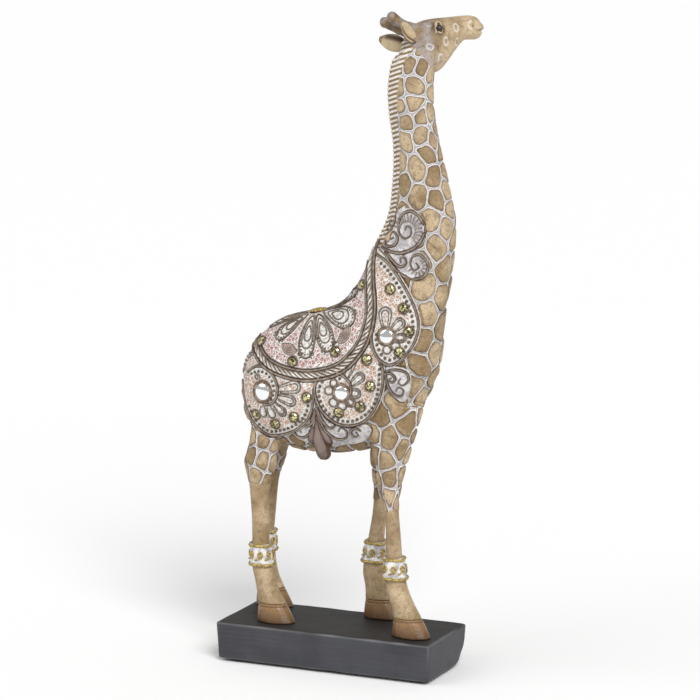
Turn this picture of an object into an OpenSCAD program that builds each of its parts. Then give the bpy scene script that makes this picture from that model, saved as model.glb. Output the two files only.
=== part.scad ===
// Standing giraffe on a slab plinth: a cast, painted figure in a relief saddle cloth,
// inlaid with round mirrors and cut stones.
// The figure faces +X and its left is +Y. The origin is the middle of the footprint, on the standing plane.

/* [Plinth] */
// Length of the plinth, along the giraffe
plinth_l = 172; // [156:1:210]
// Width of the plinth
plinth_w = 73; // [68:1:95]
// Thickness of the plinth slab
plinth_h = 29; // [20:0.5:40]
// Radius that rounds the plinth's upright corners
plinth_r = 2.5; // [1.5:0.5:6]
// How much narrower the plinth is at its foot, on each side
plinth_taper = 1.3; // [0:0.1:4]
// Thickness of the pads under the plinth
pad_h = 1.5; // [1:0.1:3]
// Diameter of a pad
pad_d = 14; // [8:1:20]
// Depth to which a pad is let into the plinth
pad_seat = 0.5; // [0.2:0.1:1]

/* [Figure] */
// Height of the figure, from its soles to the top of its horns
figure_h = 450; // [360:1:560]
// Width of the barrel of the body
body_w = 60; // [50:1:74]
// Sideways distance between left and right hooves
stance_w = 43; // [38:0.5:50]
// Sideways shift of the figure on the plinth
figure_y = 4; // [-4:0.5:6]
// Turn of the head towards the giraffe's left
head_yaw = 44; // [20:1:50]
// Sideways tilt of the head, left side down
head_roll = 20; // [-5:1:25]
// Nod of the head
head_nod = 2; // [-5:1:8]
// Width of the mane
mane_w = 9; // [6:0.5:11]
// Height of the mane above the neck
mane_h = 3.5; // [2:0.5:5]
// Radius of an eye
eye_r = 3.2; // [2.5:0.1:4]

/* [Trappings] */
// Thickness of the saddle cloth
cloth_t = 2.2; // [1.8:0.1:3]
// Width of the rope border around the back panel
border_w = 9; // [6:0.5:11]
// Thickness of the scrollwork on neck, shoulder and belly
scroll_t = 1.6; // [1.2:0.1:2.4]
// Diameter of the rosette on the back
rosette_d = 14; // [10:0.5:18]
// Diameter of a stone
stone_d = 7; // [5:0.1:8]
// Diameter of the mirrors on the front and middle lobes
mirror_d = 10.5; // [8:0.1:12]
// Diameter of the mirror on the rear lobe
rear_mirror_d = 13; // [10:0.1:14]
// Thickness of a mirror
mirror_t = 2.6; // [2:0.1:3.5]
// Depth to which stones and mirrors sit in the cloth
inlay_depth = 1.3; // [0.8:0.1:1.6]
// Height of an ankle band
anklet_h = 16; // [12:0.5:20]
// Thickness of an ankle band
anklet_t = 1.8; // [1.2:0.1:2.5]

/* [Core] */
// Diameter of the steel pins that stand in the plinth and run up the legs
pin_d = 3; // [2:0.1:4]
// Depth of a pin in the plinth
pin_depth = 18; // [8:0.5:19]
// Gap between an inlaid piece or a pin and its seat
seat_gap = 0.1; // [0.05:0.05:0.3]

/* [Hidden] */
RIGHT = -1;
LEFT = 1;

// The outlines below are drawn for a figure of this height and scaled to figure_h.
drawn_h = 450;
k = figure_h / drawn_h;
ground = pad_h + plinth_h;
module on_plinth() translate([0, figure_y, ground]) children();

// ---- curves and sweeps ----
function spline(p0, p1, p2, p3, t) = 0.5 * (2 * p1 + (p2 - p0) * t
    + (2 * p0 - 5 * p1 + 4 * p2 - p3) * t * t + (3 * p1 - p0 - 3 * p2 + p3) * t * t * t);
function smooth(list, steps) = [
    for (i = [0:len(list) - 2]) for (j = [0:steps - 1])
        spline(list[max(i - 1, 0)], list[i], list[i + 1], list[min(i + 2, len(list) - 1)], j / steps),
    list[len(list) - 1]];
function slice(list, from, to) = [for (i = [from:to]) list[i]];
function mix(a, b, t) = a * (1 - t) + b * t;

// Joins neighbouring rings of points with hulls.
module skin(rings) {
    n = len(rings[0]);
    caps = [[for (i = [0:n - 1]) i], [for (i = [0:n - 1]) 2 * n - 1 - i]];
    walls = [for (i = [0:n - 1]) let (j = (i + 1) % n) each [[j, i, n + i], [j, n + i, n + j]]];
    for (i = [0:len(rings) - 2])
        hull() polyhedron(points = concat(rings[i], rings[i + 1]), faces = concat(caps, walls));
}

// Joins neighbouring balls with hulls.
module ball_chain(points, radii) for (i = [0:len(points) - 2]) hull() {
    translate(points[i]) sphere(r = radii[i], $fn = 14);
    translate(points[i + 1]) sphere(r = radii[i + 1], $fn = 14);
}

// ---- torso and neck: one sweep, cut at a shared ring ----
// Rings: back x, z; belly or throat x, z; share of body_w; sideways shift; share of head_yaw.
body_drawn = [
    [-76, 180, -76, 170, 0.10, 0, 0],
    [-74.2, 191, -74.2, 156, 0.44, 0, 0],
    [-68.5, 203, -68.5, 143, 0.70, 0, 0],
    [-59.5, 214, -59.5, 135, 0.86, 0, 0],
    [-45, 223, -45, 130.5, 0.96, 0, 0],
    [-28, 228, -26, 128, 1.00, 0, 0],
    [-14, 231, -8, 128, 1.00, 0, 0],
    [-3, 235, 12, 130, 0.98, 0, 0],
    [6, 242, 32, 137.5, 0.95, 0, 0],
    [12.5, 250, 50.5, 153, 0.92, 0, 0],
    [17.5, 258.5, 65.5, 175, 0.86, 0, 0],
    [21.5, 267, 74.5, 198, 0.76, 0, 0],
    [26, 276, 76.5, 220, 0.66, 0, 0],
    [31, 286, 79, 240, 0.58, 0, 0],
    [36.5, 297, 83, 261, 0.52, 0, 0],
    [40.5, 309, 86.2, 283, 0.47, 0, 0],
    [42.3, 323, 86.6, 306, 0.44, 0, 0],
    [43.6, 340, 81.3, 330, 0.41, 0, 0],
    [43.2, 358, 75.3, 354, 0.38, 0, 0],
    [41.1, 375, 70.8, 376, 0.36, 0, 0.1],
    [40.1, 390, 69.2, 395, 0.36, 0, 0.28],
    [40.3, 405, 69.8, 410, 0.37, 1, 0.5],
    [42, 417, 70.8, 422, 0.38, 3, 0.7],
    [46, 426, 72, 429, 0.36, 6, 0.8]];
body_sides = 24;
body_steps = 2;
neck_from = 11;
neck_to = len(body_drawn) - 1;
body_stations = smooth(body_drawn, body_steps);
fullness = 0.84; // 1 makes a ring an ellipse, less makes it squarer
egg = 0.08; // how much wider a ring is towards the belly than in its middle
function full(x) = sign(x) * pow(abs(x), fullness);
function body_ring(s, grow) = let (
    centre = [s[0] + s[2], s[1] + s[3]] / 2 * k,
    down = [s[2] - s[0], s[3] - s[1]] / norm([s[2] - s[0], s[3] - s[1]]),
    half = norm([s[2] - s[0], s[3] - s[1]]) / 2 * k,
    turn = s[6] * head_yaw)
    [for (i = [0:body_sides - 1]) let (
        a = 360 * i / body_sides,
        depth = -full(cos(a)),
        along = depth * (half + grow),
        side = full(sin(a)) * (s[4] * body_w / 2 + grow) * (1 + egg * depth))
        [centre[0] + down[0] * along * cos(turn) - side * sin(turn),
         s[5] * k + down[0] * along * sin(turn) + side * cos(turn),
         centre[1] + down[1] * along]];
module body_part(from, to, grow) skin([
    for (s = slice(body_stations, from * body_steps, to * body_steps)) body_ring(s, grow)]);
module torso_shape(grow = 0) body_part(0, neck_from, grow);
module neck_shape(grow = 0) body_part(neck_from, neck_to, grow);
module body_shape(grow = 0) {
    torso_shape(grow);
    neck_shape(grow);
}

// Half-width of the body at the point [x, z] of its side view.
function flank(x, z) = let (
    offsets = [for (s = body_stations) let (down = [s[2] - s[0], s[3] - s[1]])
        ((x - (s[0] + s[2]) / 2 * k) * down[1] - (z - (s[1] + s[3]) / 2 * k) * down[0]) / norm(down)],
    crossings = [for (i = [0:len(offsets) - 2]) if (offsets[i] * offsets[i + 1] <= 0) i],
    i = crossings[0],
    s = mix(body_stations[i], body_stations[i + 1], offsets[i] / (offsets[i] - offsets[i + 1])),
    down = [s[2] - s[0], s[3] - s[1]],
    depth = ([x, z] / k - [s[0] + s[2], s[1] + s[3]] / 2) * down / (down * down) * 2)
    s[4] * body_w / 2 * (1 + egg * depth) * pow(max(0.02, 1 - pow(abs(depth), 2 / fullness)), fullness / 2);

// Stands its children on the flank, +Z along the outward normal, raised by lift.
module on_flank(p, side, lift) {
    x = p[0] * k;
    z = p[1] * k;
    e = 1.5;
    normal = [flank(x - e, z) - flank(x + e, z), 2 * e, flank(x, z - e) - flank(x, z + e)];
    n = normal / norm(normal);
    translate([x + lift * n[0], side * (flank(x, z) + lift * n[1]), z + lift * n[2]])
        rotate([0, acos(n[2]), atan2(side * n[1], n[0])]) children();
}

module torso() color("tan") on_plinth() difference() {
    torso_shape();
    tail_shape();
}
module neck() color("wheat") on_plinth() difference() {
    neck_shape();
    at_head() head_shape();
}

// ---- legs ----
// Rings: centre x, z; half length; half width; share of stance_w.
hind_near = [
    [-48, 172, 20, 10, 0.62], [-49.5, 156, 17.5, 10, 0.72], [-51.5, 142, 14, 10, 0.78],
    [-54.8, 131, 12, 9.5, 0.82], [-58.3, 123, 12, 9, 0.85], [-58.5, 116, 11.3, 8.5, 0.87],
    [-58.4, 108, 9.2, 7.4, 0.89], [-58.4, 96, 7.4, 6.8, 0.92], [-57.6, 79, 6.6, 6.2, 0.95],
    [-57.2, 64, 6.5, 6.3, 0.97], [-57, 52, 6.6, 6.6, 0.98], [-55.8, 41, 7.8, 7.2, 1],
    [-53.6, 32, 7.8, 7.2, 1], [-51.2, 23, 8.6, 7.4, 1], [-47.6, 14, 10.8, 8.2, 1]];
fore_near = [
    [52, 170, 17, 10, 0.62], [48.5, 156, 17, 10, 0.72], [46.5, 142, 15.3, 10, 0.78],
    [45.8, 130, 12.8, 9.5, 0.82], [45.4, 118, 10, 8.4, 0.86], [46, 106, 7, 6.8, 0.89],
    [47, 94, 5.3, 6, 0.92], [48.6, 78, 5.3, 5.8, 0.94], [49.4, 62, 6, 6.2, 0.96],
    [50.3, 48, 6.8, 6.8, 0.98], [51.2, 40, 8, 7.4, 1], [53.2, 32, 8.6, 7.6, 1],
    [57.2, 23, 9, 7.8, 1], [60.8, 14, 10.8, 8.4, 1]];
// The left legs stand further back, by an amount that grows towards the hoof.
function set_back(list, hip, slope) = [for (s = list)
    [s[0] - hip - slope * (150 - s[1]), s[1], s[2], s[3], s[4]]];
hind_far = set_back(hind_near, 4.4, 0.125);
fore_far = set_back(fore_near, 14, 0.2);
legs = [[fore_near, RIGHT], [fore_far, LEFT], [hind_near, RIGHT], [hind_far, LEFT]];
leg_sides = 14;
leg_steps = 2;
function leg_ring(s, side, grow = 0) = [for (i = [0:leg_sides - 1]) let (a = 360 * i / leg_sides)
    [k * s[0] + (k * s[2] + grow) * cos(a),
     side * s[4] * stance_w / 2 + (k * s[3] + grow) * sin(a),
     k * s[1]]];
module leg_shape(list, side, grow = 0) skin([for (s = smooth(list, leg_steps)) leg_ring(s, side, grow)]);
function ankle(list) = list[len(list) - 1];

// A pin follows its leg's centre line from the thigh to the coronet, then goes straight down.
pin_top = 112;
module pin_shape(list, side, d) {
    bends = [for (i = [0:len(list) - 1]) if (list[i][1] <= pin_top && i % 2 == len(list) % 2)
        [k * list[i][0], side * list[i][4] * stance_w / 2, k * list[i][1]]];
    low = [k * ankle(list)[0], side * ankle(list)[4] * stance_w / 2, k * ankle(list)[1]];
    path = concat(bends, [low, [low[0], low[1], 0], [low[0], low[1], -pin_depth]]);
    for (i = [0:len(path) - 2]) hull() {
        translate(path[i]) cylinder(d = d, h = 0.2, center = true, $fn = 8);
        translate(path[i + 1]) cylinder(d = d, h = 0.2, center = true, $fn = 8);
    }
}
module leg_pins() color("silver") on_plinth() for (leg = legs) pin_shape(leg[0], leg[1], pin_d);
module leg(list, side) color("tan") on_plinth() difference() {
    leg_shape(list, side);
    torso_shape();
    cloth_cover(side);
    pin_shape(list, side, pin_d + 2 * seat_gap);
}

// A hoof flares from the coronet ring down to the sole.
module hoof(list, side) color("sienna") on_plinth() difference() {
    top = ankle(list);
    skin([for (f = [0, 0.4, 1]) leg_ring(
        [top[0] + 3 * f, top[1] * (1 - f), top[2] + 4.6 * f, top[3] + 1.2 * f, top[4]], side)]);
    pin_shape(list, side, pin_d + 2 * seat_gap);
}

// An ankle band is a sleeve around the leg.
anklet_z = 50;
module anklet(list, side) color("gold") on_plinth() difference() {
    intersection() {
        leg_shape(list, side, anklet_t);
        translate([-plinth_l, -plinth_w, k * anklet_z - anklet_h / 2])
            cube([2 * plinth_l, 2 * plinth_w, anklet_h]);
    }
    leg_shape(list, side);
}

// ---- head, in its own frame: x along the nose, z up, origin at the top of the neck ----
// Rings: top x, z; underside x, z; half width.
head_drawn = [
    [-21, -4, -14, -24, 8], [-17, 5, -5, -26.5, 11], [-12, 9, 4, -25, 12.5], [-5, 12.4, 10, -20, 13],
    [3, 13.8, 15, -14, 12.3], [11, 14.6, 20, -8, 10.3], [19, 15.4, 26, -2, 8.3],
    [26, 16.2, 31, -1.3, 7.4], [31.5, 16.4, 35, -1.4, 7.4], [35.6, 15.3, 38.5, 0.2, 7],
    [39.2, 13, 40.6, 4, 5.2], [42, 11.4, 42, 9.2, 2.2]];
head_sides = 20;
head_at = [60.5, 16, 432.1];
module at_head() translate(k * head_at) rotate([0, 0, head_yaw]) rotate([-head_roll, head_nod, 0]) children();
function head_ring(s) = let (
    centre = [s[0] + s[2], s[1] + s[3]] / 2 * k,
    up = [s[0] - s[2], s[1] - s[3]] / 2 * k)
    [for (i = [0:head_sides - 1]) let (a = 360 * i / head_sides)
        [centre[0] + up[0] * cos(a), k * s[4] * sin(a), centre[1] + up[1] * cos(a)]];
module head_shape() skin([for (s = smooth(head_drawn, 2)) head_ring(s)]);

eye_at = [3.7, 11, 3.8];
module eye_shape(side, gap = 0) translate(k * [eye_at[0], side * eye_at[1], eye_at[2]])
    sphere(r = k * eye_r + gap, $fn = 18);
module eye(side) color("black") on_plinth() at_head() eye_shape(side);
module head() color("tan") on_plinth() at_head() difference() {
    head_shape();
    eye_shape(RIGHT, seat_gap);
    eye_shape(LEFT, seat_gap);
}

// A horn leans back from the crown and ends in a ball.
ossicone_points = [[-12, 4.5, 4.5], [-20, 5.7, 7], [-26.5, 6.8, 10.5], [-30, 7.2, 13]];
ossicone_radii = [4.8, 3.6, 3.4, 4.2];
module ossicone(side) color("tan") on_plinth() at_head() difference() {
    ball_chain([for (p = ossicone_points) k * [p[0], side * p[1], p[2]]], k * ossicone_radii);
    head_shape();
}

// An ear is a leaf: widest in the middle, thin at the tip.
ear_base = [-14.5, 9, -3.4];
ear_tip = [-30.5, 21, 5.2];
ear_w = 6;
ear_t = 2.2;
function ear_ring(t, side) = let (
    from = [ear_base[0], side * ear_base[1], ear_base[2]],
    to = [ear_tip[0], side * ear_tip[1], ear_tip[2]],
    face = side * cross(to - from, [0, 0, 1]) / norm(cross(to - from, [0, 0, 1])),
    across = cross(to - from, face) / norm(to - from),
    w = ear_w * pow(sin(18 + 157 * t), 0.8),
    d = ear_t * (1 - 0.65 * t))
    [for (a = [0:30:330]) k * (mix(from, to, t) + across * w * cos(a) * side + face * d * sin(a))];
module ear(side) color("wheat") on_plinth() at_head() difference() {
    skin([for (i = [0:8]) ear_ring(i / 8, side)]);
    head_shape();
}

// ---- mane and tail ----
mane_root = 5; // how deep the mane's strip starts inside the neck
mane_section = [[-1, -0.6], [-1, 0.6], [-0.45, 1], [0, 1], [0, -1], [-0.45, -1]];
function mane_ring(s) = let (
    down = [s[2] - s[0], s[3] - s[1]] / norm([s[2] - s[0], s[3] - s[1]]),
    turn = s[6] * head_yaw,
    centre = [s[0] + s[2], s[1] + s[3]] / 2 * k,
    half = norm([s[2] - s[0], s[3] - s[1]]) / 2 * k)
    [for (q = mane_section) let (
        depth = q[0] < 0 ? mane_h * q[0] : mane_root,
        along = depth - half,
        side = q[1] * mane_w / 2)
        [centre[0] + down[0] * along * cos(turn) - side * sin(turn),
         s[5] * k + down[0] * along * sin(turn) + side * cos(turn),
         centre[1] + down[1] * along]];
module mane_shape() skin([
    for (s = slice(body_stations, neck_from * body_steps, neck_to * body_steps)) mane_ring(s)]);
module mane() color("tan") on_plinth() difference() {
    mane_shape();
    neck_shape();
    at_head() head_shape();
}

// The tail lies in a groove of the rump and ends in a tuft between the hocks.
tail_points = [[-72.5, 0, 181], [-73, 0, 170], [-70, 0, 158], [-66, 1, 146], [-64.5, 2, 132],
    [-64.5, 2, 112], [-64.5, 2, 98], [-65, 2, 86], [-65, 2, 78]];
tail_radii = [3.4, 3.4, 3.2, 3, 2.8, 3, 4.2, 3.2, 0.9];
module tail_shape() ball_chain(k * tail_points, k * tail_radii);
module tail() color("tan") on_plinth() tail_shape();

// ---- saddle cloth: shells on the flanks, cut to side-view outlines ----
// Outlines list points [x, z] of the side view and are smoothed into curves.
border_outline = [[33, 300], [31, 279], [33, 262], [37, 240], [35, 222], [28, 207], [13, 192], [-10, 184.5],
    [-32, 185], [-51, 191], [-66, 203], [-78, 214]];
front_outline = [[30, 283], [42, 276], [53, 265], [64, 248], [69, 232], [67, 217], [59, 205], [49, 199],
    [39, 204], [32, 218], [28, 240]];
middle_outline = [[-10, 186], [-8, 172], [-2, 161], [7, 154], [18, 152.5], [30, 157], [39, 168], [44.5, 182],
    [45.5, 196], [42, 206], [30, 215]];
rear_outline = [[-80, 200], [-73, 178], [-67, 160], [-60, 146], [-49, 139], [-36, 141], [-22, 147],
    [-12, 157], [-8, 170], [-8, 186], [-40, 200]];
fleur_outline = [[-24, 150], [-12, 158], [-8, 166], [-1, 158], [8, 153], [18, 152], [28, 156], [33, 150],
    [24, 140], [10, 137], [-4, 134], [-20, 137], [-30, 144]];
neck_outline = [[30, 281], [42, 288], [44, 300], [48, 311], [59, 315], [69, 306], [71, 290], [80, 282],
    [78, 266], [66, 262], [52, 267]];
shoulder_outline = [[45, 199], [52, 200], [62, 197], [62, 184], [57, 172], [51, 176], [46, 184]];
above_back = [-78, 320];
module rounded(outline) polygon(smooth(concat(outline, [outline[0]]), 2));
module border_area() polygon(concat(smooth(border_outline, 3), [above_back]));
module back_panel_area() offset(delta = -border_w / k) border_area();
module on_side(side) rotate([90, 0, 0]) mirror([0, 0, side > 0 ? 1 : 0])
    linear_extrude(body_w) scale(k) children();
// Children: the side-view area of the piece.
module cloth_piece(side, thickness) difference() {
    intersection() {
        body_shape(thickness);
        on_side(side) children();
    }
    body_shape();
    inlay_seats(side);
    mane_shape();
    tail_shape();
}
// The cloth hangs over the thighs: nothing of a leg stands outside the body where cloth lies.
cover_from = 8; // distance of the cover's inner face from the middle plane
module cloth_cover(side) translate([0, side * cover_from * body_w / 60, 0]) on_side(side) {
    rounded(front_outline);
    rounded(middle_outline);
    rounded(rear_outline);
    rounded(fleur_outline);
}
module both_sides(thickness) {
    cloth_piece(RIGHT, thickness) children();
    cloth_piece(LEFT, thickness) children();
}
module back_panel() color("rosybrown") on_plinth() difference() {
    both_sides(cloth_t) back_panel_area();
    rosette_shape(seat_gap);
}
module rope_border() color("peru") on_plinth() both_sides(cloth_t) difference() {
    border_area();
    back_panel_area();
}
module front_lobe(side) color("sandybrown") on_plinth() cloth_piece(side, cloth_t) difference() {
    rounded(front_outline);
    border_area();
}
module middle_lobe(side) color("burlywood") on_plinth() cloth_piece(side, cloth_t) difference() {
    rounded(middle_outline);
    border_area();
    rounded(front_outline);
}
module rear_lobe(side) color("sandybrown") on_plinth() cloth_piece(side, cloth_t) difference() {
    rounded(rear_outline);
    border_area();
    rounded(middle_outline);
}
module neck_scrolls(side) color("thistle") on_plinth() cloth_piece(side, scroll_t) difference() {
    rounded(neck_outline);
    border_area();
    rounded(front_outline);
}
module shoulder_scroll(side) color("thistle") on_plinth() cloth_piece(side, scroll_t) difference() {
    rounded(shoulder_outline);
    rounded(front_outline);
    rounded(middle_outline);
}

// The fleur's drop hangs from the notch between the lobes, past the belly line.
drop_points = [[-8.3, 27.5, 158], [-7.6, 25, 143], [-6.6, 18, 129]];
drop_radii = [1.5, 4, 5];
module belly_fleur(side) color("rosybrown") on_plinth() {
    cloth_piece(side, scroll_t) difference() {
        rounded(fleur_outline);
        rounded(middle_outline);
        rounded(rear_outline);
    }
    difference() {
        ball_chain([for (p = drop_points) [k * p[0], side * p[1] * body_w / 60, k * p[2]]], k * drop_radii);
        body_shape();
        on_side(side) rounded(middle_outline);
        on_side(side) rounded(rear_outline);
    }
}

// ---- inlays ----
rosette_at = [-19, 229.5];
rosette_lean = -9;
rosette_rise = 1.4;
module rosette_shape(gap) translate(k * [rosette_at[0], 0, rosette_at[1]]) rotate([0, rosette_lean, 0])
    translate([0, 0, -gap]) cylinder(d = rosette_d + 2 * gap, h = cloth_t + rosette_rise + gap, $fn = 32);
module back_rosette() color("gold") on_plinth() difference() {
    rosette_shape(0);
    body_shape();
}

mirror_places = [[[45.6, 221], mirror_d], [[12.4, 178], mirror_d], [[-50.5, 173.5], rear_mirror_d]];
module mirrors(side) color("lightblue") on_plinth() for (m = mirror_places)
    on_flank(m[0], side, cloth_t - inlay_depth) cylinder(d = m[1], h = mirror_t, $fn = 48);

// A stone is a cone that widens to its girdle, under a flat-topped crown.
stone_places = [[22.8, 254.5], [46.3, 254.3], [56.7, 241.2], [61.1, 225], [55.3, 210], [31.6, 203.3],
    [34.4, 184.4], [26.4, 169], [10.1, 163.5], [-14.5, 172.6], [-25.1, 157.3], [-41, 150.7], [-57, 156],
    [-56, 208], [-26.9, 197.5], [6.5, 207]];
stone_foot = 0.7; // foot and crown diameters as shares of the girdle
stone_table = 0.6;
stone_crown = 1.4;
module stones(side) color("darkkhaki") on_plinth() for (p = stone_places)
    on_flank(p, side, cloth_t - inlay_depth) {
        cylinder(d1 = stone_d * stone_foot, d2 = stone_d, h = inlay_depth, $fn = 24);
        translate([0, 0, inlay_depth])
            cylinder(d1 = stone_d, d2 = stone_d * stone_table, h = stone_crown, $fn = 24);
    }

// Seats are ten-sided wells that clear the round pieces by the seat gap.
seat_sides = 10;
module seat(d) translate([0, 0, -seat_gap])
    cylinder(d = (d + 2 * seat_gap) / cos(180 / seat_sides), h = 2 * cloth_t, $fn = seat_sides);
module inlay_seats(side) {
    for (m = mirror_places) on_flank(m[0], side, cloth_t - inlay_depth) seat(m[1]);
    for (p = stone_places) on_flank(p, side, cloth_t - inlay_depth) seat(stone_d);
}

// ---- plinth ----
plinth_edge = 1; // chamfer around the top and bottom of the slab
sliver = 0.01;
module plinth_slice(inset, z) translate([0, 0, z]) linear_extrude(sliver) hull()
    for (x = [-1, 1], y = [-1, 1])
        translate([x * (plinth_l / 2 - plinth_r - inset), y * (plinth_w / 2 - plinth_r - inset)])
            circle(plinth_r, $fn = 24);
module at_pads() for (x = [-1, 1], y = [-1, 1])
    translate([x * (plinth_l / 2 - pad_d), y * (plinth_w / 2 - pad_d), 0]) children();
module plinth() color("dimgray") difference() {
    translate([0, 0, pad_h]) hull() {
        plinth_slice(plinth_taper + plinth_edge, 0);
        plinth_slice(plinth_taper, plinth_edge);
        plinth_slice(0, plinth_h - plinth_edge);
        plinth_slice(plinth_edge, plinth_h - sliver);
    }
    for (leg = legs) translate([k * ankle(leg[0])[0], figure_y + leg[1] * ankle(leg[0])[4] * stance_w / 2,
        ground - pin_depth - 2 * seat_gap]) cylinder(d = pin_d + 2 * seat_gap, h = plinth_h, $fn = 32);
    at_pads() cylinder(d = pad_d + 2 * seat_gap, h = pad_h + pad_seat, $fn = 48);
}
module plinth_pads() color("black") at_pads() cylinder(d = pad_d, h = pad_h + pad_seat, $fn = 48);

plinth();
plinth_pads();
leg_pins();
torso();
neck();
head();
mane();
tail();
ear(RIGHT);  // ear_right
ear(LEFT);  // ear_left
ossicone(RIGHT);  // ossicone_right
ossicone(LEFT);  // ossicone_left
eye(RIGHT);  // eye_right
eye(LEFT);  // eye_left
leg(fore_near, RIGHT);  // foreleg_right
leg(fore_far, LEFT);  // foreleg_left
leg(hind_near, RIGHT);  // hindleg_right
leg(hind_far, LEFT);  // hindleg_left
hoof(fore_near, RIGHT);  // hoof_fore_right
hoof(fore_far, LEFT);  // hoof_fore_left
hoof(hind_near, RIGHT);  // hoof_hind_right
hoof(hind_far, LEFT);  // hoof_hind_left
anklet(fore_near, RIGHT);  // anklet_fore_right
anklet(fore_far, LEFT);  // anklet_fore_left
anklet(hind_near, RIGHT);  // anklet_hind_right
anklet(hind_far, LEFT);  // anklet_hind_left
back_panel();
back_rosette();
rope_border();
front_lobe(RIGHT);  // front_lobe_right
front_lobe(LEFT);  // front_lobe_left
middle_lobe(RIGHT);  // middle_lobe_right
middle_lobe(LEFT);  // middle_lobe_left
rear_lobe(RIGHT);  // rear_lobe_right
rear_lobe(LEFT);  // rear_lobe_left
neck_scrolls(RIGHT);  // neck_scrolls_right
neck_scrolls(LEFT);  // neck_scrolls_left
shoulder_scroll(RIGHT);  // shoulder_scroll_right
shoulder_scroll(LEFT);  // shoulder_scroll_left
belly_fleur(RIGHT);  // belly_fleur_right
belly_fleur(LEFT);  // belly_fleur_left
mirrors(RIGHT);  // mirrors_right
mirrors(LEFT);  // mirrors_left
stones(RIGHT);  // stones_right
stones(LEFT);  // stones_left
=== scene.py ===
# %% [markdown]
# # A carved-look giraffe, rebuilt from its CAD frame
# The real object is a cast resin figure: one mould gives the body, its raised hide and its saddle cloth. It is
# painted light, wiped with a brown wash that stays in the hollows, set with mirrors and cut stones, and pinned to a
# slab. Here the casting becomes a fine skin with real relief, and everything that stands out of it is a piece. Shade
# is painted into the colour as well: dark beside raised lines and round the foot of each cobble, with painted
# highlights on the crests of raised lines and painted glints on the stones.

# %% Load the frame
import bpy, bmesh, math
import numpy as np
from mathutils import Matrix, Vector, noise
from mathutils.bvhtree import BVHTree
from mathutils.kdtree import KDTree


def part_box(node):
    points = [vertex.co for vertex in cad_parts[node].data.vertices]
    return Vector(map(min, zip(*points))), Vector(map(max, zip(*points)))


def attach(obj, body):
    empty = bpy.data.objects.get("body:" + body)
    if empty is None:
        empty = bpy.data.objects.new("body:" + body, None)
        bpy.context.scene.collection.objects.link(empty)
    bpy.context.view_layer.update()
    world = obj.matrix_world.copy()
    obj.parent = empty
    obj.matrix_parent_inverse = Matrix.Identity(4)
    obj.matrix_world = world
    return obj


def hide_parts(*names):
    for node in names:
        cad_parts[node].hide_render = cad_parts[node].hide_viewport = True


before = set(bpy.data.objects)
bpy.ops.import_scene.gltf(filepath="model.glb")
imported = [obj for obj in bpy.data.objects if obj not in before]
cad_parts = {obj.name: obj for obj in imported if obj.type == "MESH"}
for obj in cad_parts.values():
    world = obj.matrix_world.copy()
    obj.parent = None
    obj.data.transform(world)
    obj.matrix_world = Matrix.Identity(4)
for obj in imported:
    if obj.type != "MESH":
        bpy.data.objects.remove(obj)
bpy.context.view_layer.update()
MM = 0.001
MID_Y = 4 * MM  # the figure's own mid-plane, to one side of the slab's
GROUND = 30.5 * MM  # top of the slab, where the soles stand
SIDES = ("right", "left")
frame_nodes = [o.name for o in bpy.data.objects if o.type == "MESH"]

# %% [markdown]
# ## The camera
# A long lens far away keeps the uprights parallel, as a catalogue picture does.

# %% Camera
def linked(name, data):
    """A new object for this data, put into the scene."""
    obj = bpy.data.objects.new(name, data)
    bpy.context.scene.collection.objects.link(obj)
    return obj


camera_data = bpy.data.cameras.new("camera")
camera = linked("camera", camera_data)
azimuth, elevation, distance = math.radians(24.06), math.radians(10.5), 2.6
target = Vector((0.0072, 0, 0.235))
level = math.cos(elevation)
towards = Vector((math.sin(azimuth) * level, -math.cos(azimuth) * level, math.sin(elevation)))
camera.location = target + towards * distance
camera.rotation_euler = towards.to_track_quat("Z", "Y").to_euler()
camera_data.lens, camera_data.sensor_width = 184, 36
bpy.context.scene.camera = camera
print("camera", distance, "m away")

# %% [markdown]
# ## Helpers that make objects
# Every piece ends as a closed mesh whose normals point out, riding the frame's only body.

# %% Object helpers
def object_from(bm, name, smooth=True):
    bmesh.ops.recalc_face_normals(bm, faces=bm.faces)
    mesh = bpy.data.meshes.new(name)
    bm.to_mesh(mesh)
    bm.free()
    mesh.polygons.foreach_set("use_smooth", [smooth] * len(mesh.polygons))
    return linked(name, mesh)


def piece(bm, name, slot, finish, *nodes, smooth=True):
    """Turns a bmesh into a finished piece that stands for these CAD nodes."""
    obj = object_from(bm, name, smooth)
    obj.data.materials.append(finish)
    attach(obj, "root")
    if nodes:
        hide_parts(*nodes)


def evaluated(obj):
    """The object's mesh with its modifiers applied, as a bmesh. The object is removed."""
    mesh = bpy.data.meshes.new_from_object(obj.evaluated_get(bpy.context.evaluated_depsgraph_get()))
    bpy.data.objects.remove(obj)
    bm = bmesh.new()
    bm.from_mesh(mesh)
    bpy.data.meshes.remove(mesh)
    return bm


def add_mesh(target, source):
    """Adds one bmesh to another."""
    mesh = bpy.data.meshes.new("copy")
    source.to_mesh(mesh)
    target.from_mesh(mesh)
    bpy.data.meshes.remove(mesh)


def merged_copy(nodes):
    """One bmesh of these CAD nodes, with the seams of the export closed."""
    bm = bmesh.new()
    for node in nodes:
        part = bmesh.new()
        part.from_mesh(bpy.data.objects[node].data)
        bmesh.ops.transform(part, matrix=bpy.data.objects[node].matrix_world, verts=part.verts)
        bmesh.ops.remove_doubles(part, verts=part.verts, dist=1e-6)
        add_mesh(bm, part)
        part.free()
    return bm


def remeshed(nodes, voxel, rounds):
    """The nodes as one even skin: a voxel remesh, then a few rounds of smoothing."""
    obj = object_from(merged_copy(nodes), "skin")
    remesh = obj.modifiers.new("remesh", "REMESH")
    remesh.mode, remesh.voxel_size = "VOXEL", voxel
    bm = evaluated(obj)
    for _ in range(rounds):
        bmesh.ops.smooth_vert(bm, verts=bm.verts, factor=0.5, use_axis_x=True, use_axis_y=True, use_axis_z=True)
    return bm


print("object helpers ready")

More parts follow.
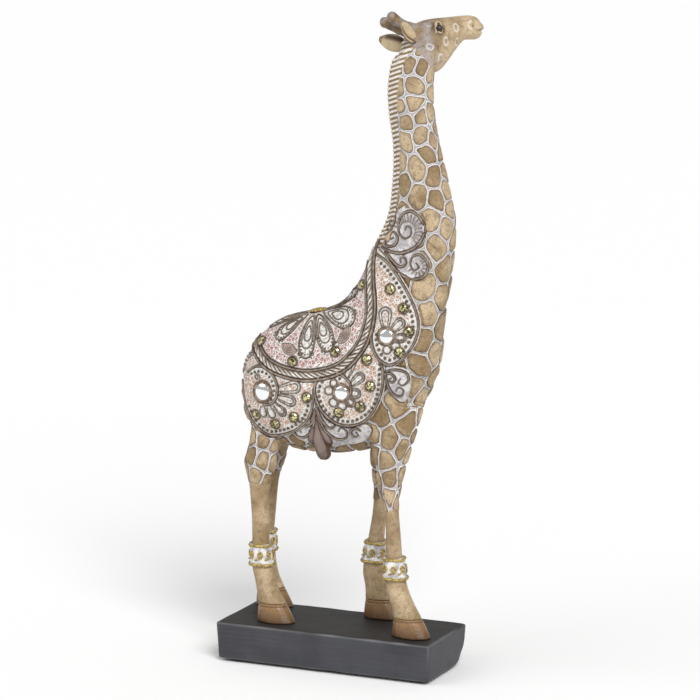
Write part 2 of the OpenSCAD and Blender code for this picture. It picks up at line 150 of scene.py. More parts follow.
# %% [markdown]
# ## Helpers that work on points
# Numbers for every vertex live in numpy arrays. Relief is then one push along the normals, and a path is an array of
# flat points with a running length.

# %% Point and path helpers
def places(bm):
    return np.array([v.co for v in bm.verts])


def store(bm, name, values):
    """Writes one value per vertex, for a material to read as an attribute."""
    layer = bm.verts.layers.float.new(name)
    for v, value in zip(bm.verts, values):
        v[layer] = value


def push(bm, offsets):
    """Moves every vertex along its own normal."""
    bm.normal_update()
    for v, d in zip(bm.verts, offsets):
        v.co += v.normal * d


def wave(turns):
    return 0.5 + 0.5 * np.sin(2 * math.pi * turns)


def rough(at, size):
    """Smooth noise at these places; size is in mm."""
    return np.array([noise.noise(Vector(p) / (size * MM)) for p in at])


def run_along(path):
    """How far each point of a path is from its start."""
    return np.concatenate([[0], np.cumsum(np.linalg.norm(np.diff(path, axis=0), axis=1))])


def resampled(path, run, at):
    return np.column_stack([np.interp(at, run, path[:, i]) for i in (0, 1)])


def smoothstep(x, low, high):
    """0 at low, 1 at high, with soft ends; low may be the larger."""
    t = np.clip((x - low) / (high - low), 0, 1)
    return t * t * (3 - 2 * t)


print("helpers ready")

# %% [markdown]
# ## A small language for paint
# Painted finishes mix a few masks. `Paint` wraps a node socket, so that masks are added and multiplied like numbers.

# %% Paint helper
class Paint:
    def __init__(self, tree, socket=None):
        self.tree, self.socket = tree, socket

    def node(self, kind, inputs, output=0, **settings):
        made = self.tree.nodes.new(kind)
        for key, value in settings.items():
            setattr(made, key, value)
        for key, value in inputs.items():
            if isinstance(value, Paint):
                self.tree.links.new(value.socket, made.inputs[key])
            else:
                made.inputs[key].default_value = value
        return Paint(self.tree, made.outputs[output])

    def math(self, operation, a, b=0.0):
        return self.node("ShaderNodeMath", {0: a, 1: b}, operation=operation)

    def __add__(self, other):
        return self.math("ADD", self, other)

    def __sub__(self, other):
        return self.math("SUBTRACT", self, other)

    def __rsub__(self, other):
        return self.math("SUBTRACT", other, self)

    def __mul__(self, other):
        return self.math("MULTIPLY", self, other)

    __radd__, __rmul__ = __add__, __mul__

    def step(self, low, high):
        inputs = {"Value": self, "From Min": low, "From Max": high}
        return self.node("ShaderNodeMapRange", inputs, interpolation_type="SMOOTHSTEP")

    def mix(self, first, second):
        """first where this mask is 0, second where it is 1; both are colours."""
        return self.node("ShaderNodeMix", {0: self, 6: first, 7: second}, 2, data_type="RGBA")

    def attribute(self, name):
        return self.node("ShaderNodeAttribute", {}, 2, attribute_name=name)

    def place(self):
        return self.node("ShaderNodeTexCoord", {}, 3)

    def noise(self, scale, detail):
        return self.node("ShaderNodeTexNoise", {"Vector": self.place(), "Scale": scale, "Detail": detail})

    def patches(self, scale, low=0.35, high=0.65, detail=3):
        """Soft clouds of 0 and 1."""
        return self.noise(scale, detail).step(low, high)

    def cells(self, scale, feature, output=0):
        return self.node("ShaderNodeTexVoronoi", {"Vector": self.place(), "Scale": scale}, output, feature=feature)


def rgb(red, green, blue):
    return (red, green, blue, 1.0)


def material(name, paint, metallic=0.0, coat=0.0):
    """paint(p) returns colour, roughness and bump height, each a Paint or a plain value; height may be None."""
    made = bpy.data.materials.new(name)
    made.use_nodes = True
    shader = made.node_tree.nodes["Principled BSDF"]
    colour, roughness, height = paint(Paint(made.node_tree))
    sockets = {"Base Color": colour, "Roughness": roughness, "Metallic": metallic, "Coat Weight": coat}
    for key, value in sockets.items():
        if isinstance(value, Paint):
            made.node_tree.links.new(value.socket, shader.inputs[key])
        else:
            shader.inputs[key].default_value = value
    if height is not None:
        bump = height.node("ShaderNodeBump", {"Height": height, "Distance": 0.4 * MM, "Strength": 0.8})
        made.node_tree.links.new(bump.socket, shader.inputs["Normal"])
    return made


print("paint helper ready")

# %% [markdown]
# ## Colours and kinds of paint
# Few colours were mixed: white, a lilac grey, taupe and browns, tans and gold. The kinds of paint differ in where the
# brown goes: as a wash in the grain, and as painted shade beside a raised line and round the foot of a cobble. Raised
# lines are also painted lighter on their crest, as a painted highlight.

# %% Kinds of paint
WHITE, LILAC = rgb(0.74, 0.715, 0.68), rgb(0.37, 0.345, 0.355)
# The near-black umber serves only the painted shadow line round the foot of each cobble.
TAUPE, UMBER_SHADOW = rgb(0.13, 0.085, 0.052), rgb(0.03, 0.018, 0.011)
TAN, CREAM = rgb(0.26, 0.172, 0.075), rgb(0.57, 0.435, 0.27)
# Brown is the wash in the grain and the dark marks, and also the painted shade beside raised lines and round cobbles.
BROWN = rgb(0.085, 0.046, 0.024)
GOLD, OLIVE = rgb(0.62, 0.46, 0.15), rgb(0.22, 0.16, 0.05)


def speckled(p, colour, amount=0.6):
    """Fine dark specks, as a wiped wash leaves in the grain of the casting."""
    specks = p.patches(2200, 0.47, 0.38, 2) * amount
    blots = p.patches(300, 0.50, 0.34) * (0.55 * amount)
    return p.math("MAXIMUM", specks, blots).mix(colour, BROWN)


def hide_paint(p):
    """Cobbles between pale seams; plain coat on head and legs; white and dark marks over both."""
    edge, plain, tone = p.attribute("edge"), p.attribute("plain"), p.attribute("tone")
    patch = (tone + p.attribute("cobble") * 0.45 + p.noise(90, 3) - 0.72).step(0.2, 0.8).mix(TAN, CREAM)
    patch = speckled(p, patch, 0.75)
    # Painted shade: each cobble darkens down its flank towards the seam, and a near-black painted shadow line runs
    # round its foot.
    patch = (edge.step(3.4, 1.4) * 0.5).mix(patch, BROWN)
    patch = edge.step(1.75, 1.45).mix(patch, UMBER_SHADOW)
    seam = edge.step(0.3, 1.1).mix(LILAC, WHITE)
    seam = (p.patches(140, 0.45, 0.7) * 0.6).mix(seam, LILAC)
    hide = edge.step(1.2, 1.4).mix(seam, patch)
    coat = (tone + p.noise(60, 3) - 0.5).step(0.2, 0.8).mix(TAN, CREAM)
    coat = (p.attribute("lilac") * p.patches(130)).mix(coat, LILAC)
    hide = plain.mix(hide, speckled(p, coat, 0.7))
    hatch = p.attribute("hatch").step(0.35, 0.6).mix(WHITE, TAN)
    hide = p.attribute("mane_side").mix(hide, speckled(p, hatch, 0.5))
    colour = p.attribute("dark").mix(p.attribute("white").mix(hide, WHITE), BROWN)
    return colour, 0.6, p.noise(1500, 3)


def scroll_ground(p):
    """The ground under the scrolls: pale lilac wash, with painted shade in brown in the corners beside every line."""
    near = p.attribute("near")
    ground = (p.noise(110, 3) + p.noise(500, 2) - 0.5).step(0.35, 0.65).mix(LILAC, rgb(0.60, 0.585, 0.57))
    # Painted shade: brown where near is small, at the foot of every line.
    return near.step(0.9, -0.1).mix(ground, BROWN), 0.6, p.noise(900, 2)


def cloth_paint(ground):
    """White lace over a coloured ground; near the drawing, white with painted shade in brown in the corners beside
    each line.
    """
    def paint(p):
        near = p.attribute("near")
        lace = p.cells(330, "DISTANCE_TO_EDGE")
        curls = p.math("ABSOLUTE", p.noise(360, 1) - 0.5)
        thread = p.math("MAXIMUM", lace.step(0.10, 0.05), curls.step(0.028, 0.012))
        filled = thread.mix((p.patches(260, 0.45, 0.75) * 0.5).mix(ground, WHITE), WHITE)
        filled = (p.patches(900, 0.44, 0.34, 2) * 0.7).mix(filled, TAUPE)
        # Painted shade: brown at the foot of every stroke and bead, with a random taupe mottle over it.
        line_shade_and_mottle = near.step(0.5, -0.1).mix(WHITE, BROWN)
        line_shade_and_mottle = (p.patches(420, 0.48, 0.62) * 0.45).mix(line_shade_and_mottle, TAUPE)
        colour = near.step(1.15, 0.8).mix(filled, line_shade_and_mottle)
        colour = (p.patches(70, 0.5, 0.75, 2) * 0.3).mix(colour, LILAC)
        return colour, 0.6, thread
    return paint


def wash_paint(light, dark, scale=350):
    def paint(p):
        return p.patches(scale, 0.38, 0.62).mix(dark, light), 0.55, p.noise(1800, 2)
    return paint


def line_paint(light, dark):
    """A raised line, lit and shaded in paint: a painted highlight along its crest, where it faces out, and painted
    shade on its sides.
    """
    def paint(p):
        crest = p.attribute("crest") + (p.noise(260, 3) - 0.5) * 0.9
        return crest.step(0.55, 1.1).mix(dark, light), 0.55, p.noise(1800, 2)
    return paint


def stripes_paint(p):
    return speckled(p, p.attribute("groove").step(0.35, 0.6).mix(WHITE, TAN), 0.5), 0.6, None


def slate_paint(p):
    streaks = p.node("ShaderNodeMapping", {"Vector": p.place(), "Scale": (9, 9, 190)})
    streaks = p.node("ShaderNodeTexNoise", {"Vector": streaks, "Scale": 3.0, "Detail": 4.0}).step(0.35, 0.7)
    colour = (streaks * 0.35 + p.patches(35) * 0.65).mix(rgb(0.026, 0.0265, 0.031), rgb(0.045, 0.046, 0.055))
    colour = p.attribute("top").mix(colour, rgb(0.0165, 0.015, 0.014))
    # Paler along the edges, from the pale band painted there.
    colour = p.attribute("worn").mix(colour, rgb(0.21, 0.21, 0.225))
    return colour, 0.55, p.noise(420, 4)


def gem_paint(p):
    # Painted glints: random cells over each stone are painted bright and dark, standing in for the reflections of its
    # facets and foil.
    facet_glint = p.node("ShaderNodeSeparateColor", {0: p.cells(760, "F1", 1)})
    colour = facet_glint.step(0.35, 0.85).mix(rgb(0.05, 0.036, 0.006), rgb(0.62, 0.56, 0.26))
    return colour, 0.08, None


def hoof_paint(p):
    height = p.attribute("height")
    return speckled(p, height.mix(rgb(0.085, 0.038, 0.012), rgb(0.27, 0.15, 0.055)), 0.6), 0.4, p.noise(900, 2)


def tan_paint(p):
    return speckled(p, p.patches(60, 0.3, 0.7).mix(TAN, CREAM), 0.4), 0.6, p.noise(1200, 2)


def ear_paint(p):
    fold = p.attribute("dark").mix(rgb(0.60, 0.47, 0.29), BROWN)
    return speckled(p, fold, 0.35), 0.6, p.noise(1200, 2)


print("paint kinds ready")

# %% [markdown]
# The finishes have names, so that pieces with the same paint share one material.

# %% Finishes
HIDE = material("painted_hide", hide_paint)
PLAIN_TAN = material("plain_tan", tan_paint)
EAR_PAINT = material("ear_paint", ear_paint)
PEACH_CLOTH = material("peach_cloth", cloth_paint(rgb(0.47, 0.265, 0.155)))
ROSE_CLOTH = material("rose_cloth", cloth_paint(rgb(0.37, 0.16, 0.155)))
PALE_WASH = material("pale_wash", scroll_ground)
BAND_WHITE = material("band_white", wash_paint(WHITE, LILAC, 260))
TAUPE_WASH = material("taupe_wash", wash_paint(rgb(0.30, 0.23, 0.175), TAUPE))
# Raised lines and the rope strands carry a painted highlight on their crest and painted shade on their sides.
TAUPE_LINE = material("taupe_line", line_paint(rgb(0.34, 0.27, 0.21), rgb(0.07, 0.044, 0.028)))
ROPE_LIT_CREST = material("rope_wash", line_paint(rgb(0.78, 0.75, 0.70), rgb(0.20, 0.15, 0.115)))
BEAD_WASH = material("bead_wash", wash_paint(rgb(0.16, 0.11, 0.075), rgb(0.075, 0.047, 0.03)))
SHELL_WASH = material("shell_wash", wash_paint(rgb(0.36, 0.28, 0.24), rgb(0.24, 0.175, 0.145), 200))
LEAF_WASH = material("leaf_wash", wash_paint(rgb(0.21, 0.155, 0.13), rgb(0.10, 0.07, 0.058), 90), coat=0.15)
MANE_WASH = material("mane_wash", stripes_paint)
GOLD_WASH = material("gold_wash", wash_paint(GOLD, OLIVE, 900), metallic=0.5)
HOOF_BROWN = material("hoof_brown", hoof_paint, coat=0.2)
SLATE = material("slate", slate_paint)
BLACK_GLOSS = material("black_gloss", lambda p: (rgb(0.008, 0.007, 0.006), 0.12, None), coat=0.5)
RUBBER = material("rubber", lambda p: (rgb(0.02, 0.02, 0.02), 0.8, None))
STEEL = material("steel", lambda p: (rgb(0.5, 0.5, 0.5), 0.3, None), metallic=1.0)
MIRROR = material("mirror", lambda p: (rgb(0.93, 0.94, 0.95), 0.06, None), metallic=1.0)
GEM = material("gem", gem_paint, metallic=0.55, coat=1.0)
print("materials:", len(bpy.data.materials))

# %% [markdown]
# ## The skin of the casting
# Body, neck, head, horns and legs come out of one mould with no joint to see. Their CAD solids are therefore joined
# and remeshed as one fine skin, then cut by level planes into pieces small enough to export.

# %% Join the casting
LEGS = [f"{end}leg_{side}" for end in ("fore", "hind") for side in SIDES]
skin = remeshed(["torso", "neck", "head", *(f"ossicone_{side}" for side in SIDES), *LEGS], 0.8 * MM, 4)
print("skin vertices:", len(skin.verts))

# %% [markdown]
# The head's own axes run along the nose, to its left, and up. They place the eyes, the nostrils and the spots.

# %% Head axes
head_turn = Matrix.Rotation(math.radians(44), 3, "Z") @ Matrix.Rotation(math.radians(2), 3, "Y") \
    @ Matrix.Rotation(math.radians(-20), 3, "X")
EYE = (3.7, 11, 3.8)
eyes = {side: sum((Vector(corner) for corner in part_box(f"eye_{side}")), Vector()) / 2 for side in SIDES}
head_at = (eyes["right"] + eyes["left"]) / 2 - head_turn @ (Vector((EYE[0], 0, EYE[2])) * MM)
in_head = (places(skin) - np.array(head_at)) @ np.array(head_turn) / MM
print("head origin:", [round(c / MM, 1) for c in head_at])

# %% [markdown]
# ## Cobbled hide
# The hide is a net of pale seams between raised cobbles. Seeds are scattered on the skin with a spacing that grows
# from the throat to the chest. A point's `edge` value says how far it is from the seam between its nearest seeds;
# counting the third seed too rounds the corners of the cobbles.

# %% Hide relief
random = np.random.default_rng(7)
noise.seed_set(7)  # vector noise is otherwise seeded by the clock
points = places(skin)
skin.normal_update()
SWELL = 4 * MM  # keeps the two sides of a thin leg apart when cobbles are shared out
swollen = points + np.array([v.normal for v in skin.verts]) * SWELL
height = points[:, 2] / MM


def spacing(z):
    return np.interp(z, [120, 165, 240, 330, 420, 460], [11.5, 12, 15, 14, 10.5, 8]) * MM


TRIES = 16000
seeds = np.empty((0, 3))
for index in random.permutation(len(swollen))[:TRIES]:
    p = swollen[index]
    if not len(seeds) or np.min(np.linalg.norm(seeds - p, axis=1)) > spacing(height[index]):
        seeds = np.vstack([seeds, p])
tree = KDTree(len(seeds))
for index, seed in enumerate(seeds):
    tree.insert(seed, index)
tree.balance()


def seam_distance(p):
    """How far a point is from the nearest seam, and the number of its cobble."""
    wobble = noise.noise_vector(Vector(p) / (7 * MM)) * 1.1 * MM
    (_, owner, first), *others = tree.find_n(Vector(p) + wobble, 3)
    second, third = (max((far - first) / MM, 1e-3) for _, _, far in others)
    return 1 / (1 / second + 1 / third), owner


found = np.array([seam_distance(p) for p in swollen])
edge, owner = found[:, 0], found[:, 1].astype(int)
cobble = random.random(len(seeds))[owner]
along_nose = points @ np.array([0.72, 0.69, 0]) / MM
head_share = smoothstep(0.8 * (along_nose - 40.4) + 0.6 * (height - 458), -0.8, 0.8)
head_share = np.maximum(head_share, smoothstep(height, 462.5, 464))
hind = points[:, 0] < -20 * MM
leg_end = np.where(hind, 133, 122) + 3 * rough(points, 9)
plain = np.maximum(head_share, smoothstep(height, leg_end + 0.7, leg_end - 0.7))
depth = np.interp(height, [120, 180, 260, 330, 400], [1.3, 1.9, 1.9, 1.1, 0.85])
tilt = random.normal(size=(len(seeds), 3)) * 0.09
slope = np.sum((swollen - seeds[owner]) / MM * tilt[owner], axis=1)
slope *= np.interp(height, [160, 200, 280, 330], [0.3, 1, 1, 0.2])
relief = -0.7 + depth * (0.65 * smoothstep(edge, 1.1, 1.7) + 0.35 * smoothstep(edge, 1.7, 4))
relief = (relief + np.clip(slope, -0.7, 0.7) * smoothstep(edge, 1.2, 2.0)) * (1 - plain)
print("cobbles:", len(seeds))

# %% [markdown]
# ## Cuts of the mane
# The mane is cut slantwise and its cuts run on to the sides of the neck, so strip and neck share one wave.

# %% Mane hatching
MANE_REACH = 4.6  # how far the cuts run on to the side of the neck, mm
CUT_PITCH, CUT_SLOPE = 3.4 * MM, 0.35


def hatch_phase(at):
    """Counts the cuts up the neck; each rises towards its front."""
    return (at[:, 2] - CUT_SLOPE * (at[:, 0] - np.interp(at[:, 2], HATCH_Z, HATCH_X))) / CUT_PITCH


HATCH_Z = np.arange(290, 470, 10) * MM
HATCH_X = np.array([points[np.abs(height - z / MM) < 4, 0].min() for z in HATCH_Z])
hatch = wave(hatch_phase(points))
print("cuts up the neck:", int((HATCH_Z[-1] - HATCH_Z[0]) / CUT_PITCH))

# %% [markdown]
# ## The head's modelling
# Soft hollows and ridges are gaussian pushes: sockets around the eyes, brows over them, nostrils, and a mouth line.
# Pale rings on the cheeks and darker hollows are painted through the same distances.

# %% Head modelling
def near_line(q, line, width):
    """1 on a polyline of head points, falling to 0 at about twice the width away."""
    best = np.full(len(q), 1e9)
    line = np.array(line, float)
    for a, b in zip(line[:-1], line[1:]):
        t = np.clip(((q - a) @ (b - a)) / ((b - a) @ (b - a)), 0, 1)
        best = np.minimum(best, np.linalg.norm(q - a - t[:, None] * (b - a), axis=1))
    return np.exp(-(best / width) ** 2)


# name: points on the head's left side, width, rise and darkness
FEATURES = {
    "brow": ([(-3, 12, 5), (-1, 10, 9), (3, 9, 11.5)], 2.0, 1.1, 0),
    "fold behind the eye": ([(-1.5, 11, -2), (-2.2, 11, 3), (0, 10, 9)], 1.2, 0, 0.85),
    "nostril": ([(32.6, 6.2, 8.8), (31.4, 7.2, 6.6)], 0.9, -1.3, 0.7),
    "mouth": ([(42, 0, 4.6), (39, 4.8, 4.3), (35, 7, 3.4), (32, 7.6, 3.6)], 0.8, -2.2, 0.35),
    "dip above the lip": ([(41.5, 0, 10), (39.5, 3.4, 10.6)], 2.2, -1.5, 0),
    "upper lip": ([(42, 0, 6.8), (40.5, 3, 6.6)], 1.3, 0.6, 0),
    "nostril rim": ([(34, 3, 12), (31, 6, 11), (29.5, 7, 8.5)], 1.5, 0.9, 0),
    "cheek": ([(33, 6, 1.5), (28, 7, -0.5)], 2.2, 0.8, 0)}
LIP_LINE = [(39, 4.8, 5.6), (35, 7, 4.7)]


def on_side(line, s):
    return [(along, s * across, up) for along, across, up in line]


white, dark = np.zeros(len(points)), np.zeros(len(points))
for s in (-1, 1):
    from_eye = (in_head - [EYE[0], s * EYE[1], EYE[2]]) / [0.85, 1, 1.15]
    at_eye = np.linalg.norm(from_eye, axis=1)
    relief -= head_share * 1.2 * np.exp(-((at_eye - 4.2) / 1.4) ** 2)
    dark = np.maximum(dark, 0.35 * np.exp(-((at_eye - 4.6) / 1.0) ** 2))
    for line, width, rise, shade in FEATURES.values():
        near = near_line(in_head, on_side(line, s), width)
        relief += head_share * rise * near
        dark = np.maximum(dark, shade * near)
    white = np.maximum(white, 0.8 * near_line(in_head, on_side(LIP_LINE, s), 0.5))
print("head features:", ", ".join(FEATURES))

# %% [markdown]
# The cheeks carry small pale rings. Some are open, so each has a first and a last angle besides its place and size.

# %% Rings, horns and tone
# along the nose, up, half width, half height, first and last angle
SPOTS = [(17, 4.8, 1.9, 2.9, 0, 360), (7.3, -6, 1.7, 2.9, 40, 380), (-6, -10.4, 2.4, 2.3, 0, 360),
         (17.2, -5.2, 1.3, 2.4, 20, 320), (3.4, -18, 1.9, 3.0, 60, 210), (-3.2, 6.6, 1.8, 1.4, 190, 360),
         (29.6, 7.6, 1.7, 2.6, 60, 300)]
nose, up = in_head[:, 0], in_head[:, 2]
for s in (-1, 1):
    for spot_along, spot_up, wide, tall, first, last in SPOTS:
        around = (nose - spot_along) / wide, (up - spot_up) / tall
        angle = np.degrees(np.arctan2(around[1], around[0])) % 360
        open_part = (((angle - first) % 360) <= last - first) | (last - first >= 360)
        ring = np.exp(-((np.hypot(*around) - 1) * 2.1 / 0.38) ** 2) * (in_head[:, 1] * s > 2) * open_part
        white = np.maximum(white, ring * 0.9)
        relief += head_share * 0.3 * ring
horn = smoothstep(nose, -13, -17) * smoothstep(up, 0, 3)
light_jaw = 0.5 * smoothstep(up, -2, -14) * smoothstep(nose, 0, 10) + 0.4 * smoothstep(nose, 20, 30)
tone = 0.52 + head_share * (light_jaw - 0.38 * smoothstep(nose, 14, 0) * smoothstep(up, -16, -6))
tone += (1 - head_share) * np.interp(height, [60, 130, 300, 470], [0.0, -0.06, 0, 0.03])
relief += head_share * horn * 0.35 * rough(points, 2.6)
dark = np.maximum(dark, 0.45 * horn * smoothstep(rough(points, 4), -0.1, 0.3))
white, dark = white * head_share, dark * head_share
print("rings on each side:", len(SPOTS))

# %% [markdown]
# Under the cloth the hide stays low, so that no cobble comes through. Beside the mane it gives way to the cuts.

# %% Relief beside cloth and mane
def gap_to(nodes, reach):
    """How far every point of the skin is from these CAD nodes, in mm, up to the reach."""
    bvh = BVHTree.FromBMesh(merged_copy(nodes))
    return np.array([(bvh.find_nearest(Vector(p), reach * MM)[3] or reach * MM) / MM for p in points])


CLOTH_NAMES = ("back_panel", "rope_border", "front_lobe", "middle_lobe", "rear_lobe", "neck_scrolls",
               "shoulder_scroll", "belly_fleur")
cloth_nodes = [n for n in frame_nodes if n.startswith(CLOTH_NAMES)]
relief += (-0.6 - relief) * smoothstep(gap_to(cloth_nodes, 3), 1.4, 0.3)
mane_gap = gap_to(["mane"], 12)
on_neck = (height > 285) * (1 - head_share)
mane_side = smoothstep(mane_gap, MANE_REACH + 0.4, MANE_REACH - 0.4) * on_neck
cut_relief = 0.9 * smoothstep(mane_gap, MANE_REACH, 0) + 0.2 - 0.6 * smoothstep(hatch, 0.3, 0.8)
relief = relief * (1 - mane_side) + mane_side * cut_relief
rail = np.exp(-((mane_gap - MANE_REACH - 0.8) / 0.8) ** 2) * on_neck
relief -= 0.5 * rail
push(skin, relief * MM)
print("relief from", round(relief.min(), 2), "to", round(relief.max(), 2), "mm")

# %% [markdown]
# What was worked out for each point goes into the mesh as attributes, which the hide's paint reads. The skin is then
# cut at heights where cloth or a leg's own shape hides the cut.

# %% Cut the skin into pieces
ATTRIBUTES = {"edge": edge, "plain": plain, "white": white, "dark": dark, "tone": tone, "hatch": hatch,
              "mane_side": mane_side, "cobble": cobble, "lilac": head_share * 0.75 * smoothstep(nose, 10, -8)}
for name, values in ATTRIBUTES.items():
    store(skin, name, values)


def slab_of(source, low, high):
    """A copy of the skin between two heights, capped flat where it is cut."""
    part = source.copy()
    for z, keep_above in ((low, True), (high, False)):
        if z is None:
            continue
        cut = bmesh.ops.bisect_plane(part, geom=part.verts[:] + part.edges[:] + part.faces[:], plane_co=(0, 0, z),
                                     plane_no=(0, 0, 1), clear_inner=keep_above, clear_outer=not keep_above)
        rim = [e for e in cut["geom_cut"] if isinstance(e, bmesh.types.BMEdge)]
        bmesh.ops.holes_fill(part, edges=rim, sides=0)
        for e in rim:
            e.smooth = False
    return part


NECK_CUT, BACK_CUT, LEG_CUT = 300 * MM, 225 * MM, 160 * MM
hide_slabs = {
    "hide_neck_and_head": (NECK_CUT, None, ["neck", "head"] + [f"ossicone_{s}" for s in SIDES], "patched_hide"),
    "hide_chest_and_back": (BACK_CUT, NECK_CUT, [], "hide_tan"),
    "hide_belly": (LEG_CUT, BACK_CUT, ["torso"], "hide_tan"),
    "hide_legs": (None, LEG_CUT, LEGS, "hide_tan")}
for name, (low, high, nodes, slot) in hide_slabs.items():
    part = slab_of(skin, low, high)
    print(name, len(part.verts), "vertices")
    piece(part, name, slot, HIDE, *nodes)
skin_bvh = BVHTree.FromBMesh(skin)
skin.free()

# %% [markdown]
# ## Saddle cloth shells
# Each cloth panel of the CAD becomes a fine shell with softened edges. Its ornament is drawn first, as strokes, so
# that the cloth can be painted and raised around every stroke; here the shells are only made ready.

# %% Cloth shells
CLOTHS = {"back_panel": ("rose_cloth", ROSE_CLOTH), "rope_border": ("rope_taupe", PALE_WASH)}
for side in SIDES:
    for lobe in ("front", "middle", "rear"):
        CLOTHS[f"{lobe}_lobe_{side}"] = ("peach_cloth", PEACH_CLOTH)
    for scroll in ("neck_scrolls", "shoulder_scroll", "belly_fleur"):
        CLOTHS[f"{scroll}_{side}"] = ("scroll_wash", PALE_WASH)
shells = {node: remeshed([node], 0.75 * MM, 2) for node in CLOTHS}
cloth = bmesh.new()
for shell in shells.values():
    add_mesh(cloth, shell)
cloth_bvh = BVHTree.FromBMesh(cloth)
cloth.free()
print({node: len(shell.verts) for node, shell in shells.items()})

# %% [markdown]
# ## Drawing on the figure
# Ornament is drawn flat, like chalk on a sheet held beside the figure, and then pressed on to it: every chalk point
# is cast along the sheet's normal until it meets the surface.

# %% Sheets
class Sheet:
    """Flat coordinates (a, b) in mm, cast on to the figure against the direction `out`."""
    def __init__(self, trees, origin, across, up, out):
        self.trees, self.origin = trees, Vector(origin)
        self.across, self.up, self.out = (Vector(v).normalized() for v in (across, up, out))

    def at(self, a, b):
        start = self.origin + (self.across * a + self.up * b) * MM + self.out * 0.3
        best = None
        for tree in self.trees:
            hit, normal, _, far = tree.ray_cast(start, -self.out)
            if hit is not None and (best is None or far < best[2]):
                best = (hit, normal, far)
        return best[:2] if best else (None, None)


FLANK = Sheet([cloth_bvh, skin_bvh], (0, MID_Y, GROUND), (1, 0, 0), (0, 0, 1), (0, -1, 0))
BACK = Sheet([cloth_bvh, skin_bvh], (-19 * MM, MID_Y, 260 * MM), (1, 0, 0), (0, -0.69, -0.72), (0, -0.72, 0.69))


def curve_through(controls, step=0.9):
    """Evenly spaced points on a smooth curve through a few given ones."""
    c = np.array(controls[:1] + controls + controls[-1:], float)
    t = np.linspace(0, 1, 12, endpoint=False)[:, None]
    dense = [0.5 * (2 * p1 + (p2 - p0) * t + (2 * p0 - 5 * p1 + 4 * p2 - p3) * t ** 2
                    + (3 * p1 - p0 - 3 * p2 + p3) * t ** 3) for p0, p1, p2, p3 in zip(c, c[1:], c[2:], c[3:])]
    dense = np.vstack(dense + [c[-2:-1]])
    run = run_along(dense)
    return resampled(dense, run, np.linspace(0, run[-1], max(3, int(run[-1] / step))))


def shifted(path, offset):
    """The path moved sideways; positive is to its left."""
    tangent = np.gradient(path, axis=0)
    tangent /= np.linalg.norm(tangent, axis=1)[:, None] + 1e-9
    return path + np.column_stack([-tangent[:, 1], tangent[:, 0]]) * offset


def spiral(centre, start_angle, turns, outer, inner=0.6):
    """A scroll that winds in to its centre; positive turns run anticlockwise."""
    t = np.linspace(0, 1, int(abs(turns) * outer * 5) + 12)
    angle = math.radians(start_angle) + 2 * math.pi * turns * t
    radius = outer + (inner - outer) * t ** 0.8
    return np.array(centre) + np.column_stack([radius * np.cos(angle), radius * np.sin(angle)])


def turned(base, angle, along, wide):
    """Points given along and across a direction, placed from the base."""
    a = math.radians(angle)
    return np.array(base) + np.column_stack([along * math.cos(a) - wide * math.sin(a),
                                             along * math.sin(a) + wide * math.cos(a)])


def petal(base, angle, length, width):
    """A closed drop: narrow at its base, round at its tip."""
    t = np.linspace(0, 2 * math.pi, int(length * 2) + 12, endpoint=False)
    along = length * (1 - np.cos(t)) / 2
    wide = width / 2 * np.sin(t) * (0.35 + 0.65 * (1 - np.cos(t)) / 2) * 1.25
    return turned(base, angle, along, wide)


def arch(base, angle, length, width):
    """An open loop with straight sides and a round end, like a long U."""
    half = width / 2
    t = np.linspace(-90, 90, 9 + int(width))
    along = np.concatenate([[0, (length - half) * 0.5], length - half + half * np.cos(np.radians(t)),
                            [(length - half) * 0.5, 0]])
    wide = np.concatenate([[-0.55, -0.85], np.sin(np.radians(t)), [0.85, 0.55]]) * half
    return turned(base, angle, along, wide)


print("sheets ready")

# %% [markdown]
# ## Strokes become tubes, dots become beads
# A stroke is a curve with a round bevel whose radius may swell or taper along it, so one curve object makes the whole
# drawing. Every stroke is remembered, because the cloth is painted by its distance to the drawing.

# %% Strokes and beads
WHITE_REACH, WHITE_GAP = 1.5, 0.55  # a white mark's radius, and the least gap it gives, mm
NO_LEAST = -9


